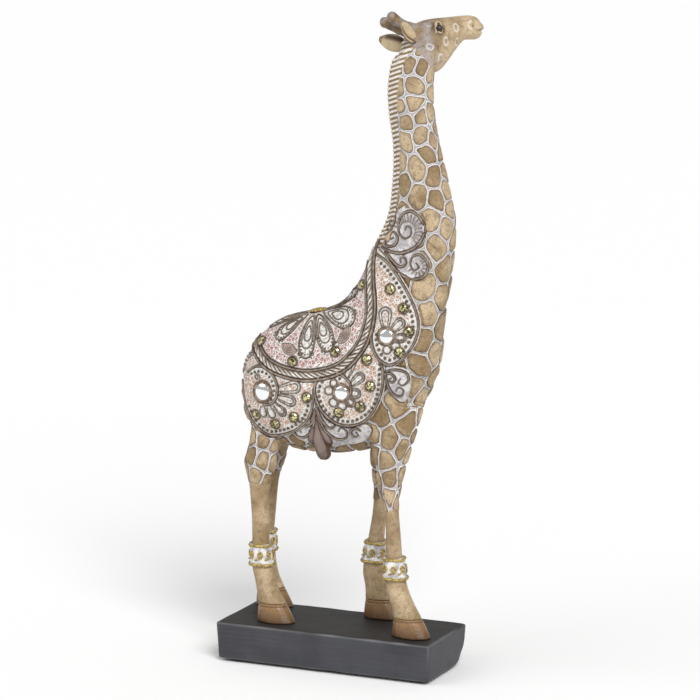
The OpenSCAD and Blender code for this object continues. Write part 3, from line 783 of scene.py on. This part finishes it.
class Drawing:
    """Strokes and beads on a sheet. A mark is a place, its radius and the least gap it may give."""
    def __init__(self, name, sheet):
        self.name, self.sheet, self.beads, self.marks = name, sheet, [], []
        self.curve = bpy.data.curves.new(name, "CURVE")
        self.curve.dimensions, self.curve.bevel_mode = "3D", "ROUND"
        self.curve.bevel_depth, self.curve.bevel_resolution = 1.0, 1
        self.curve.use_fill_caps = True

    def stroke(self, path, radius, closed=False, lift=0.1, swell=None):
        """swell gives the share of the radius at each share of the length."""
        found = [(self.sheet.at(a, b), index / max(1, len(path) - 1)) for index, (a, b) in enumerate(path)]
        found = [(hit, normal, share) for (hit, normal), share in found if hit is not None]
        if len(found) < 3:
            return
        spline = self.curve.splines.new("POLY")
        spline.points.add(len(found) - 1)
        spline.use_cyclic_u = closed
        for point, (hit, normal, share) in zip(spline.points, found):
            point.co = (*(hit + normal * lift * MM), 1)
            point.radius = radius * MM * (swell(share) if swell else 1)
            self.marks.append((hit, point.radius / MM, NO_LEAST))

    def draw(self, controls, radius, **how):
        self.stroke(curve_through(controls), radius, **how)

    def fill(self, path, reach=WHITE_REACH):
        """Marks ground that stays white, with no line drawn on it."""
        for a, b in path:
            hit, _ = self.sheet.at(a, b)
            if hit is not None:
                self.marks.append((hit, reach, WHITE_GAP))

    def bead_row(self, path, radius, pitch):
        self.fill(path, 1.5 * radius)
        run = run_along(path)
        at = np.linspace(0, run[-1], max(1, round(run[-1] / pitch)))
        for a, b in resampled(path, run, at):
            hit, normal = self.sheet.at(a, b)
            if hit is not None:
                self.beads.append((hit + normal * 0.3 * radius * MM, radius * MM))
                self.marks.append((hit, radius, NO_LEAST))

    def mesh(self):
        """The tubes and the beads, a bmesh each."""
        tubes = evaluated(linked(self.name, self.curve))
        tubes.normal_update()
        # crest: how squarely each point of a tube faces out of its sheet; line paints turn it into a painted
        # highlight on top and painted shade on the sides.
        store(tubes, "crest", [max(0.0, v.normal.dot(self.sheet.out)) for v in tubes.verts])
        beads = bmesh.new()
        for centre, radius in self.beads:
            bmesh.ops.create_uvsphere(beads, u_segments=8, v_segments=5, radius=radius,
                                      matrix=Matrix.Translation(centre))
        return tubes, beads

    def tubes(self):
        tubes, beads = self.mesh()
        beads.free()
        return tubes


MIRROR_FLANK = Matrix.Translation((0, 2 * MID_Y, 0)) @ Matrix.Scale(-1, 4, (0, 1, 0))


def on_both_sides(bm, name, slot, paint):
    """The right side's ornament and its mirror image on the left, as two pieces."""
    for side in SIDES:
        copy = bm.copy()
        if side == "left":
            bmesh.ops.transform(copy, matrix=MIRROR_FLANK, verts=copy.verts)
            bmesh.ops.reverse_faces(copy, faces=copy.faces)
        piece(copy, f"{name}_{side}", slot, paint)
    bm.free()


def taper(share):
    """Full at the start, thin at the end."""
    return 0.35 + 0.65 * math.sin(math.pi * min(1, share + 0.15))


def leaf(share):
    """Thin at both ends."""
    return 0.12 + 0.88 * math.sin(math.pi * share ** 0.8) ** 0.8


def drop(share):
    """Thin at the start, fullest near the far end, where it closes round."""
    return 0.12 + 0.88 * math.sin(math.pi * min(1, share) ** 2.2) ** 0.55 if share < 0.999 else 0.1


print("drawing tools ready")

# %% [markdown]
# ## Inlays
# The stones are foil-backed and cut; a convex hull over a few staggered rings of points gives their facets. The
# mirrors are shallow domes. Each stands where its CAD solid stands, facing out of the cloth.

# %% Stones and mirrors
def solids_in(node):
    """Centre, outward direction and radius of every separate solid of a CAD node."""
    bm = merged_copy([node])
    bm.verts.index_update()
    left, found = set(bm.verts), []
    while left:
        queue = [min(left, key=lambda v: v.index)]
        left.discard(queue[0])
        for v in queue:
            fresh = [e.other_vert(v) for e in v.link_edges if e.other_vert(v) in left]
            left.difference_update(fresh)
            queue += fresh
        cloud = np.array([v.co for v in queue])
        centre = cloud.mean(axis=0)
        spread = np.linalg.svd(cloud - centre, full_matrices=False)[2]
        axis = Vector(spread[2])
        if axis.y * (1 if node.endswith("left") else -1) < 0:
            axis.negate()
        reach = (cloud - centre) @ np.array(axis)
        wide = np.linalg.norm(cloud - centre - reach[:, None] * np.array(axis), axis=1).max()
        found.append((Vector(centre), axis, wide))
    bm.free()
    return found


def facing(centre, axis, spin=0.0):
    """Places a shape made round Z so that it faces along the axis."""
    turn = axis.to_track_quat("Z", "Y").to_matrix().to_4x4()
    return Matrix.Translation(centre) @ turn @ Matrix.Rotation(spin, 4, "Z")


def cut_stone(bm, radius, where):
    """Rings of points from table to foot: share of the radius, height, number, half-step of turn."""
    rings = [(0.50, 0.42, 8, 0.5), (0.80, 0.27, 8, 0), (1.0, 0.05, 16, 0.5), (1.0, -0.06, 16, 0.5),
             (0.6, -0.36, 8, 0)]
    made = []
    for share, rise, count, turn in rings:
        for i in range(count):
            a = 2 * math.pi * (i + turn) / count
            corner = Vector((share * math.cos(a), share * math.sin(a), rise)) * radius
            made.append(bm.verts.new(where @ corner))
    hull = bmesh.ops.convex_hull(bm, input=made)
    bmesh.ops.delete(bm, geom=hull["geom_interior"], context="VERTS")


def ring_mesh(radius, thick, rise):
    """A torus, spun from a small circle."""
    bm = bmesh.new()
    upright = Matrix.Translation((radius, 0, rise)) @ Matrix.Rotation(math.pi / 2, 4, "X")
    small = bmesh.ops.create_circle(bm, segments=8, radius=thick, matrix=upright)
    bmesh.ops.spin(bm, geom=small["verts"] + bm.edges[:], cent=(0, 0, 0), axis=(0, 0, 1), angle=2 * math.pi,
                   steps=32, use_merge=True, use_duplicate=False)
    return bm


def append(target, source, matrix):
    """Adds a moved copy of one bmesh to another."""
    copy = source.copy()
    bmesh.ops.transform(copy, matrix=matrix, verts=copy.verts)
    add_mesh(target, copy)
    copy.free()


for side in SIDES:
    stones, settings, mirrors, bezels = (bmesh.new() for _ in range(4))
    for index, (centre, axis, radius) in enumerate(solids_in(f"stones_{side}")):
        cut_stone(stones, radius * 0.97, facing(centre, axis, index))
        append(settings, ring_mesh(radius + 0.25 * MM, 0.5 * MM, 0), facing(centre, axis))
    for centre, axis, radius in solids_in(f"mirrors_{side}"):
        dome = bmesh.new()
        bmesh.ops.create_uvsphere(dome, u_segments=32, v_segments=16, radius=radius)
        bmesh.ops.transform(dome, matrix=Matrix.Diagonal((1, 1, 0.26, 1)), verts=dome.verts)
        append(mirrors, dome, facing(centre, axis))
        append(bezels, ring_mesh(radius + 0.45 * MM, 0.85 * MM, 0.1 * MM), facing(centre, axis))
        append(bezels, ring_mesh(radius + 1.9 * MM, 0.5 * MM, -0.3 * MM), facing(centre, axis))
        dome.free()
    piece(stones, f"cut_stones_{side}", "stone_glass", GEM, f"stones_{side}", smooth=False)
    piece(settings, f"stone_settings_{side}", "scroll_wash", BEAD_WASH)
    piece(mirrors, f"mirror_domes_{side}", "mirror_glass", MIRROR, f"mirrors_{side}")
    piece(bezels, f"mirror_bezels_{side}", "scroll_wash", TAUPE_WASH)
print("inlays made")

# %% [markdown]
# ## Lobes: rims, bead rows, flowers round the mirrors
# The three lobes share one vocabulary: a rim tube, a row of beads inside it, and looped petals that radiate from a
# mirror. All of it is drawn once for the right flank and mirrored for the left.

# %% Lobe ornament
RIM, LINE, THIN, BEAD, PITCH = 1.0, 0.48, 0.33, 1.0, 3.6


def flower(drawing, centre, petals, base=6.9, inner=0.55):
    """petals: angle, length, width and, if it isn't the flower's own, the base radius."""
    for angle, length, width, *own in petals:
        a, start = math.radians(angle), own[0] if own else base
        foot = (centre[0] + start * math.cos(a), centre[1] + start * math.sin(a))
        drawing.stroke(arch(foot, angle, length, width), LINE)
        drawing.fill(arch(foot, angle, length - 1.2, width - 2.4))
        if width > 6.5:
            drawing.stroke(arch(foot, angle, length - 0.24 * width, width * inner), THIN)


lobes = Drawing("lobe_lines", FLANK)
front_rim = curve_through([(32, 278), (42, 273.5), (52.5, 263), (62.8, 247), (67.6, 232), (65.8, 218), (58.5, 206.3),
                           (49, 200.8), (40, 205.5), (34.8, 217), (35.5, 228)])
lobes.stroke(front_rim, RIM)
lobes.bead_row(shifted(front_rim, -3.6)[8:-6], BEAD, PITCH)
flower(lobes, (45.6, 221), [(96, 14, 9.5), (46, 10.5, 7.6), (-2, 7.6, 6.6), (-42, 6, 6), (-84, 5.6, 6)])

middle_rim = curve_through([(41, 204), (44.2, 196), (43.2, 182.5), (37.8, 168.6), (29.3, 158), (18, 153.8),
                            (7.5, 155.3), (-1, 162), (-6.6, 171), (-8.2, 181), (-4, 189.5), (4, 193), (13, 191),
                            (19.4, 184.5), (19.6, 177)])
lobes.stroke(middle_rim, RIM)
middle_beads = curve_through([(41.6, 201), (41.2, 190), (39.4, 178), (34.6, 167.5), (27, 160.6), (17.6, 157),
                              (8.2, 158.2), (1, 163.8), (-3.9, 171), (-4.9, 179), (-2, 185.5), (4, 189.2),
                              (11, 188.4)])
lobes.bead_row(middle_beads, BEAD, PITCH)
flower(lobes, (12.4, 178), [(72, 13.5, 7.5, 13), (41, 11.5, 7.5, 11), (2, 8, 7.4), (-42, 6.4, 6.6), (-86, 6, 6.4),
                            (-130, 6, 6.4), (174, 6, 6.4), (132, 5, 5.6)])

rear_rim = curve_through([(-72.5, 179), (-67.2, 161), (-60, 147.6), (-49, 140.6), (-36, 142.4), (-22.5, 148.6),
                          (-13, 158.2), (-9.4, 170), (-9.4, 178)])
lobes.stroke(rear_rim, RIM)
lobes.bead_row(shifted(rear_rim, 3.4)[22:-4], BEAD, PITCH)
lobes.stroke(curve_through([(-66, 186), (-58, 191.4), (-48, 190.5), (-40.6, 184), (-38.2, 175), (-42, 166.5),
                            (-50, 163.8)]), RIM)
lobes.bead_row(curve_through([(-62, 185.5), (-55.5, 188), (-48, 187), (-42.9, 181.5), (-41.2, 175), (-43.6, 168.6)]),
               0.85, 3.2)
lobes.stroke(spiral((-56.5, 183.5), -60, 1.4, 3.2), LINE, swell=taper)
flower(lobes, (-50.5, 173.5), [(13, 17, 9, 14.5), (-11, 14, 8, 13.5), (-40, 11, 7, 13), (-66, 8.5, 6, 12),
                               (-92, 7.5, 6, 11.5)])
lobe_tubes, lobe_beads = lobes.mesh()
on_both_sides(lobe_tubes, "lobe_lines", "peach_cloth", TAUPE_LINE)
on_both_sides(lobe_beads, "lobe_beads", "peach_cloth", BEAD_WASH)
print("marks on the lobes:", len(lobes.marks))

# %% [markdown]
# ## Rope border
# Rails hold a rope. A twisted rope shows a row of slanting strands, so each is a short stroke from edge to edge that
# overlaps the next.

# %% Rope border
def lay(drawing, path, pitch, half, thick):
    """A row of short slanting strands that overlap like the turns of a rope."""
    run, strand = run_along(path), 1.9 * pitch
    share = np.linspace(0, 1, 7)
    slant = smoothstep(share, 0.15, 0.85)[:, None]
    for start in np.arange(0, run[-1] - strand, pitch):
        left, right = (resampled(shifted(path, side), run, start + share * strand) for side in (half, -half))
        drawing.stroke(left * (1 - slant) + right * slant, thick, lift=0.3, swell=leaf)


border = Drawing("border_rails", FLANK)
rope = Drawing("border_rope", FLANK)
edge_line = curve_through([(33, 300), (31, 279), (33, 262), (37, 240), (35, 222), (28, 207), (13, 192), (-10, 184.5),
                           (-32, 185), (-51, 191), (-66, 203), (-76, 212)])
for inset, thick in ((0.9, 1.15), (2.6, 0.4), (6.7, 0.4), (8.1, 1.0)):
    border.stroke(shifted(edge_line, -inset), thick)
lay(rope, shifted(edge_line, -4.6), 4.3, 1.4, 1.3)
lay(rope, curve_through([(-62, 200.5), (-68, 197), (-71.8, 190), (-73, 179)], step=0.7), 3.8, 1.2, 1.1)
for drawing, paint in ((border, TAUPE_LINE), (rope, ROPE_LIT_CREST)):
    on_both_sides(drawing.tubes(), drawing.name, "rope_taupe", paint)
print("border drawn")

# %% [markdown]
# ## Half mandala on the back
# Shell petals fan out from the gold rosette. Each is three nested drops with beads under its tip and a curl on
# either side of it.

# %% Back petals
ROSETTE_EDGE = 8


def back_petal(angle, tip, share, width):
    """A petal of this share of the full length, nested inside the full one."""
    long, a = tip - ROSETTE_EDGE, math.radians(angle)
    start = ROSETTE_EDGE + long * (1 - share) * 0.46
    return petal((start * math.cos(a), start * math.sin(a)), angle, long * share, width)


back = Drawing("back_lines", BACK)
for angle, tip, width in [(161, 39, 11.5), (131, 37, 12), (87, 41, 13.5), (59, 41, 13.5), (24, 42, 16), (-8, 38, 11)]:
    a = math.radians(angle)
    for share, thick in ((1, 0.6), (0.66, 0.36), (0.36, 0.36)):
        back.stroke(back_petal(angle, tip, share, width * (0.1 + 0.9 * share)), thick, closed=True)
    for share in (0.2, 0.5, 0.84):
        back.fill(back_petal(angle, tip, share, width * share), 1.7)
    bead_line = back_petal(angle, tip, 0.88, width * 0.79)
    third = int(len(bead_line) / 3.2)
    back.bead_row(bead_line[third:-third], 0.42, 2.1)
    for turn in (-1, 1):
        side_angle = a + turn * 0.40 * width / tip
        back.stroke(spiral((tip * 0.95 * math.cos(side_angle), tip * 0.95 * math.sin(side_angle)),
                           angle, -turn * 1.1, 2.3), 0.42, swell=taper)
shells_between = Drawing("back_shells", BACK)
for centre, facing_angle in (((-11, 32), 110), ((29, 23), 40)):
    for radius in (1.2, 2.6, 4.0, 5.4, 6.8):
        arc = np.radians(np.linspace(facing_angle - 70, facing_angle + 70, 16))
        ripple_line = np.array(centre) + radius * np.column_stack([np.cos(arc), np.sin(arc)])
        shells_between.stroke(ripple_line, 0.85, lift=-0.1)
on_both_sides(shells_between.tubes(), "back_shells", "rose_cloth", SHELL_WASH)
back_tubes, back_beads = back.mesh()
on_both_sides(back_tubes, "back_lines", "rose_cloth", TAUPE_LINE)
on_both_sides(back_beads, "back_beads", "rose_cloth", BEAD_WASH)
rosette_box = [Vector(c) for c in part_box("back_rosette")]
rosette_at = (rosette_box[0] + rosette_box[1]) / 2
rosette = bmesh.new()
for ring, count, size in ((4.4, 8, 2.0), (2.3, 6, 1.5), (0, 1, 1.6)):
    for i in range(count):
        a = 2 * math.pi * i / count
        spot = Matrix.Translation((ring * MM * math.cos(a), ring * MM * math.sin(a), (1.2 - 0.2 * ring) * MM))
        bmesh.ops.create_uvsphere(rosette, u_segments=12, v_segments=8, radius=size * MM,
                                  matrix=facing(rosette_at, Vector((-0.15, 0, 1)).normalized()) @ spot
                                  @ Matrix.Diagonal((1, 1, 0.7, 1)))
piece(rosette, "gold_rosette", "gold_wash", GOLD_WASH, "back_rosette")
print("marks on the back:", len(back.marks))

# %% [markdown]
# ## Scrolls on neck and shoulder, and the fleur under the belly
# Curves with tapering tubes; fine ribs fan out inside the large neck scrolls. The fleur's leaves are
# strokes that swell in the middle.

# %% Scrollwork
scrolls = Drawing("scroll_lines", FLANK)
big = [
    [(36, 283.5), (45, 280.8), (55, 281), (65, 286.5), (70.2, 296), (67.5, 305.8), (60, 310.8), (52.5, 308),
     (49.3, 300.5), (50.8, 294), (55.2, 291), (59.6, 293.5), (59.8, 298.3), (56.5, 300), (55.2, 297.4)],
    [(36.5, 287), (42, 284.4), (47.6, 286.3), (49.2, 291), (46, 294.8), (42.5, 293), (43.2, 289.6), (45.6, 290.8)],
    [(36, 290.5), (41.5, 295.5), (45, 301), (46, 308), (44.3, 313)],
    [(37.5, 295), (40.2, 300), (41.2, 305)],
    [(39, 280), (46.9, 271), (55, 264.4), (63.3, 262.6), (71, 265.2), (73.6, 273), (68.5, 279.8), (62.6, 279),
     (60.3, 274), (63, 269), (66.8, 271), (64.8, 274)],
    [(41, 279.8), (47.7, 273.6), (53, 270.8), (57, 273.2), (56, 277.2), (52.4, 276.8), (53, 274)]]
for index, controls in enumerate(big):
    scrolls.draw(controls, 1.15 if index in (0, 4) else 0.9, swell=taper)
ribs = Drawing("scroll_ribs", FLANK)
RIB_FANS = [((57, 297), 6.4, 11.2, -50, 170, 15), ((65.5, 272), 4.6, 6.6, -150, 60, 9)]
for centre, inner, outer, first, last, count in RIB_FANS:
    for a in np.radians(np.linspace(first, last, count)):
        ray = np.array([math.cos(a), math.sin(a)])
        ribs.stroke(np.array(centre) + np.outer(np.linspace(inner, outer, 5), ray), 0.3)
for controls in (
        [(44.7, 195.4), (52.5, 197.3), (59.4, 195.4), (61.3, 190), (57.6, 185.6), (54.4, 187.6), (56, 190.6)],
        [(46.2, 194.5), (50, 194), (52.4, 190.6), (50.4, 187.8), (48, 189.4), (49.6, 191)],
        [(46, 192.5), (47.4, 185), (50.8, 179), (55.6, 177.6), (57.4, 181.8), (54.4, 184), (52.6, 181.6)]):
    scrolls.draw(controls, 0.85, swell=taper)
for controls in (
        [(-8, 163), (-10, 155.5), (-14.6, 151), (-19, 152.4), (-18.4, 156.2), (-15.4, 155.6)],
        [(-8.4, 158), (-12, 148), (-18.4, 142), (-24.6, 142), (-26, 146.4), (-22.4, 148.2), (-21.2, 145.4)],
        [(-6, 163), (-3, 156), (1.6, 151), (6, 152.6), (5, 156.4), (2, 155.4)],
        [(-5.4, 158), (-1, 148), (6, 142.4), (13, 143.6), (14.6, 149), (10.6, 151.6), (8.4, 148.6)],
        [(24.5, 150), (21, 152), (17.6, 149), (19, 145), (22.6, 146), (21.4, 148.6)]):
    scrolls.draw(controls, 0.9, swell=taper)
leaves = Drawing("fleur_leaves", FLANK)
for controls, radius in (([(-8.3, 160), (-8.2, 148), (-7.4, 136), (-6.6, 124.5)], 4.6),
                         ([(-9.6, 156), (-11.6, 148), (-15, 137)], 2.9), ([(-7, 156), (-4, 148), (0.6, 138)], 3.0),
                         ([(-8.6, 167), (-9.6, 160), (-12.4, 154)], 1.3),
                         ([(-7.4, 167), (-6.2, 160), (-3, 154)], 1.3)):
    leaves.draw(controls, radius, swell=drop, lift=-0.3 * radius)
for drawing, paint in ((scrolls, TAUPE_LINE), (ribs, ROPE_LIT_CREST), (leaves, LEAF_WASH)):
    on_both_sides(drawing.tubes(), drawing.name, "scroll_wash", paint)
print("scrolls drawn")

# %% [markdown]
# ## Painting the cloth by distance to the drawing
# `near` is the distance from the closest stroke or bead. Close to a stroke the cloth is white with a taupe mottle,
# has painted shade in brown in the corner beside the stroke, and stands slightly proud; further away its coloured
# ground shows through white lace.

# %% Finish the cloth shells
marks = [p for drawing in (lobes, border, rope, back, shells_between, scrolls, ribs, leaves) for p in drawing.marks]
marks += [(MIRROR_FLANK @ p, radius, least) for p, radius, least in marks]
marked = KDTree(len(marks))
for index, (p, _, _) in enumerate(marks):
    marked.insert(p, index)
marked.balance()
DROP_TOP, UNDER_DROP = 148, -0.5  # the fleur's ground under its drop takes the dark wash
SCROLL_ENDS = [(57, 297, 14.5), (63.5, 271.5, 10.6)]  # past these circles the scrolls' ground sinks into the neck


def gap_to_mark(at):
    """How far a point is from the closest mark's own edge, in mm."""
    return min(max(far / MM - marks[index][1], marks[index][2]) for _, index, far in marked.find_n(at, 6))


for node, (slot, paint) in CLOTHS.items():
    shell = shells[node]
    gaps = np.array([gap_to_mark(v.co) for v in shell.verts])
    x, z = places(shell)[:, 0] / MM, (places(shell)[:, 2] - GROUND) / MM
    if node.startswith("belly_fleur"):
        gaps[(z < DROP_TOP) & (abs(x + 7) < 8)] = UNDER_DROP
    store(shell, "near", gaps)
    beyond = np.min([np.hypot(x - a, z - b) - reach for a, b, reach in SCROLL_ENDS], axis=0)
    sunk = 3.2 * smoothstep(beyond, 0, 1.2) * (x > 54) * node.startswith("neck_scrolls")
    shifts = [Vector((50 * MM - v.co.x, MID_Y - v.co.y, 0)).normalized() * s * MM for v, s in zip(shell.verts, sunk)]
    push(shell, (-0.3 * smoothstep(gaps, 1.1, 1.8) - 0.25 * smoothstep(gaps, 0.7, 0.1)) * MM)
    for v, shift in zip(shell.verts, shifts):
        v.co += shift
    piece(shell, f"shell_{node}", slot, paint, node)
print("cloth painted from", len(marks), "marks")

# %% [markdown]
# ## Mane and tail
# The mane is a raised strip with slanting cuts across it, the same wave that runs on to the neck beside it. The tail
# is a plain cord that ends in a combed tuft.

# %% Mane and tail
mane = remeshed(["mane"], 0.6 * MM, 2)
for v in mane.verts:
    inward = v.co.x - np.interp(v.co.z, HATCH_Z, HATCH_X)
    v.co.y = MID_Y + (v.co.y - MID_Y) * 1.15
    v.co.x += 4.5 * MM * smoothstep(inward, -1.5 * MM, 1.0 * MM)
groove = wave(hatch_phase(places(mane)))
store(mane, "groove", groove)
push(mane, -0.7 * MM * smoothstep(groove, 0.3, 0.8))
piece(mane, "scored_mane", "mane_wash", MANE_WASH, "mane")

tail = remeshed(["tail"], 0.6 * MM, 2)
at = places(tail)
low = smoothstep(at[:, 2] / MM, 138, 128)
turn = np.arctan2(at[:, 1] - 6 * MM, at[:, 0] + 64.5 * MM)
push(tail, -0.45 * MM * low * wave((9 * turn + at[:, 2] / MM * 0.25) / (2 * math.pi)))
piece(tail, "tail_and_tuft", "hide_tan", PLAIN_TAN, "tail")

# %% [markdown]
# ## Ears, eyelids
# An ear is a leaf-shaped dish: a grid bent into a leaf and given thickness. The lids are two tapering strokes.

# %% Ears and lids
EAR_BASE, EAR_TIP, EAR_WIDE, EAR_DEEP = (-14.5, 9, -3.4), (-30.5, 21, 5.2), 5.8, 3.0
head_matrix = Matrix.Translation(head_at) @ head_turn.to_4x4()
LIDS = [([(-3.4, -4.4), (-3.0, 0.5), (-1.0, 4.4), (1.4, 4.2), (3.2, 0.6), (3.0, -2.4)], 1.15, 0.9),
        ([(-2.8, -1.4), (-0.8, -3.8), (1.6, -3.6), (3, -1.6)], 0.8, 0.7)]
for side in SIDES:
    s = -1 if side == "right" else 1
    base, tip = (Vector((a, s * b, c)) for a, b, c in (EAR_BASE, EAR_TIP))
    length = tip - base
    face = (s * length.cross(Vector((0, 0, 1)))).normalized()
    wide = length.cross(face).normalized()
    ear = bmesh.new()
    bmesh.ops.create_grid(ear, x_segments=26, y_segments=18, size=1)
    for v in ear.verts:
        t, w = (v.co.x + 1) / 2, v.co.y
        half = EAR_WIDE * math.sin(math.radians(16 + 158 * t)) ** 0.8
        dish = EAR_DEEP * (1 - w * w) * math.sin(math.pi * min(1, t + 0.15)) - 0.6
        v.co = (base + length * t + wide * w * half - face * dish) * MM
    bmesh.ops.solidify(ear, geom=ear.faces, thickness=1.3 * MM)
    shade = ear.verts.layers.float.new("dark")
    for v in ear.verts:
        q = v.co / MM - base
        t, w = q.dot(length) / length.length_squared, q.dot(wide) / EAR_WIDE
        v[shade] = 0.95 * smoothstep(-w, -0.15, 0.35) * smoothstep(-w, 0.9, 0.6) * smoothstep(t, 1.0, 0.7)
    bmesh.ops.transform(ear, matrix=head_matrix, verts=ear.verts)
    piece(ear, f"ear_dish_{side}", "hide_tan", EAR_PAINT, f"ear_{side}")
    ball = bmesh.new()
    bmesh.ops.create_uvsphere(ball, u_segments=24, v_segments=16, radius=1)
    socket = Matrix.Translation(Vector((EYE[0], s * (EYE[1] - 0.4), EYE[2])) * MM)
    almond = Matrix.Diagonal((2.3 * MM, 2.8 * MM, 3.0 * MM, 1))
    bmesh.ops.transform(ball, verts=ball.verts, matrix=head_matrix @ socket @ almond)
    piece(ball, f"eyeball_{side}", "eye_gloss", BLACK_GLOSS, f"eye_{side}")
    cheek = Sheet([skin_bvh], head_at, *(head_turn @ Vector(v) for v in ((1, 0, 0), (0, 0, 1), (0, s, 0))))
    lids = Drawing(f"eyelids_{side}", cheek)
    for controls, thick, lift in LIDS:
        lids.draw([(EYE[0] + a, EYE[2] + b) for a, b in controls], thick, swell=taper, lift=lift)
    piece(lids.tubes(), lids.name, "hide_tan", PLAIN_TAN)
print("ears and lids made")

# %% [markdown]
# ## Ankle bands and hooves
# A band is a pale sleeve with two gold rims and a running scroll. Its sheet is wrapped: the first coordinate runs
# round the leg.

# %% Sleeves
class Sleeve:
    """Flat coordinates wrapped round an upright centre line."""
    out = Vector((0, 0, 0))

    def __init__(self, tree, centre, radius):
        self.tree, self.centre, self.radius = tree, Vector(centre), radius

    def at(self, a, b):
        turn = a * MM / self.radius
        out = Vector((math.cos(turn), math.sin(turn), 0))
        hit, normal, _, _ = self.tree.ray_cast(self.centre + out * 0.03 + Vector((0, 0, b * MM)), -out)
        return hit, normal


CURLS = 7  # round each ankle
for end in ("fore", "hind"):
    for side in SIDES:
        node = f"anklet_{end}_{side}"
        low, high = (Vector(c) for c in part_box(node))
        band = remeshed([node], 0.6 * MM, 1)
        centre, radius = (low + high) / 2, (high.y - low.y) / 2
        sleeve = Sleeve(BVHTree.FromBMesh(band), centre, radius)
        piece(band, f"band_{end}_{side}", "gold_wash", BAND_WHITE, node)
        relief = Drawing(f"band_scrolls_{end}_{side}", sleeve)
        half, around = (high.z - low.z) / 2 / MM, 2 * math.pi * radius / MM
        turn = np.linspace(0, 2 * math.pi, 60, endpoint=False)
        for b in (-half + 1, half - 1):
            rim = np.column_stack([turn / (2 * math.pi) * around, b + 0.3 * np.sin(3 * turn)])
            relief.stroke(rim, 1.1, closed=True)
        for i in range(CURLS):
            a = around * (i + 0.5) / CURLS
            curl = spiral((a, 0.6), -100, 1.3, 2.7)
            relief.stroke(np.vstack([[(a - 0.5 * around / CURLS, -3.4)], curl]), 0.75, lift=0.3)
        piece(relief.tubes(), relief.name, "gold_wash", GOLD_WASH)

        node = f"hoof_{end}_{side}"
        hoof = remeshed([node], 0.7 * MM, 2)
        above = (places(hoof)[:, 2] - GROUND) / MM
        line = np.exp(-((above - 12.2) / 0.6) ** 2)
        store(hoof, "height", np.maximum(np.clip(above / 11, 0, 1) - 0.8 * line, 0))
        push(hoof, -0.4 * MM * line)
        piece(hoof, f"carved_{node}", "hoof_brown", HOOF_BROWN, node)
print("bands and hooves made")

# %% [markdown]
# ## Plinth
# The slab is cast too, so its faces wander slightly; a patchy pale band is painted along its edges. Its far foot
# corner is rounded off.

# %% Plinth
slab = remeshed(["plinth"], 1.4 * MM, 3)
at = places(slab)
low, high = (Vector(c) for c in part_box("plinth"))
to_face = np.column_stack([high.x - np.abs(at[:, 0]), high.y - np.abs(at[:, 1]),
                           np.minimum(at[:, 2] - low.z, high.z - at[:, 2])]) / MM
to_edge = np.sort(to_face, axis=1)[:, 1]
ripple = rough(at, 16)
push(slab, (-0.35 + 0.3 * ripple) * MM)
corner = np.linalg.norm((at - np.array([high.x, high.y, low.z])) / MM, axis=1)
for v, pull in zip(slab.verts, 2.6 * np.exp(-(corner / 9) ** 2)):
    v.co += Vector((-1, -1, 1)) * pull * MM
store(slab, "top", smoothstep(places(slab)[:, 2], GROUND - 2 * MM, GROUND - MM))
# A patchy pale band is painted along every edge.
store(slab, "worn", np.maximum(0, 1 - abs(to_edge - 1.1) / 1.1) * (0.45 + 0.5 * ripple))
piece(slab, "slate_plinth", "slate_paint", SLATE, "plinth")
for node, paint in (("plinth_pads", RUBBER), ("leg_pins", STEEL)):
    finishes = bpy.data.objects[node].data.materials
    finishes.clear()
    finishes.append(paint)
print("plinth made")

# %% [markdown]
# ## Stage
# A pale floor under soft, even studio light. The big front light is slightly to the left, as the shading asks.

# %% Stage and light
floor_bm = bmesh.new()
bmesh.ops.create_grid(floor_bm, x_segments=1, y_segments=1, size=40)
floor = object_from(floor_bm, "floor", smooth=False)
floor.data.materials.append(material("floor_white", lambda p: (rgb(0.93, 0.93, 0.93), 0.9, None)))

world = bpy.data.worlds.new("world")
bpy.context.scene.world = world
world.use_nodes = True
world.node_tree.nodes["Background"].inputs[0].default_value = rgb(1, 1, 1)
world.node_tree.nodes["Background"].inputs[1].default_value = 0.46


def soft_sun(name, direction, spread, strength):
    """An even, wide light from one side, as a row of large softboxes gives."""
    data = bpy.data.lights.new(name, "SUN")
    data.angle, data.energy = math.radians(spread), strength
    linked(name, data).rotation_euler = Vector(direction).to_track_quat("Z", "Y").to_euler()


soft_sun("key", (0.8, -0.9, 1.0), 30, 2.45)
soft_sun("fill", (-0.9, -0.8, 0.9), 50, 0.7)
bpy.context.scene.view_settings.view_transform = "Standard"
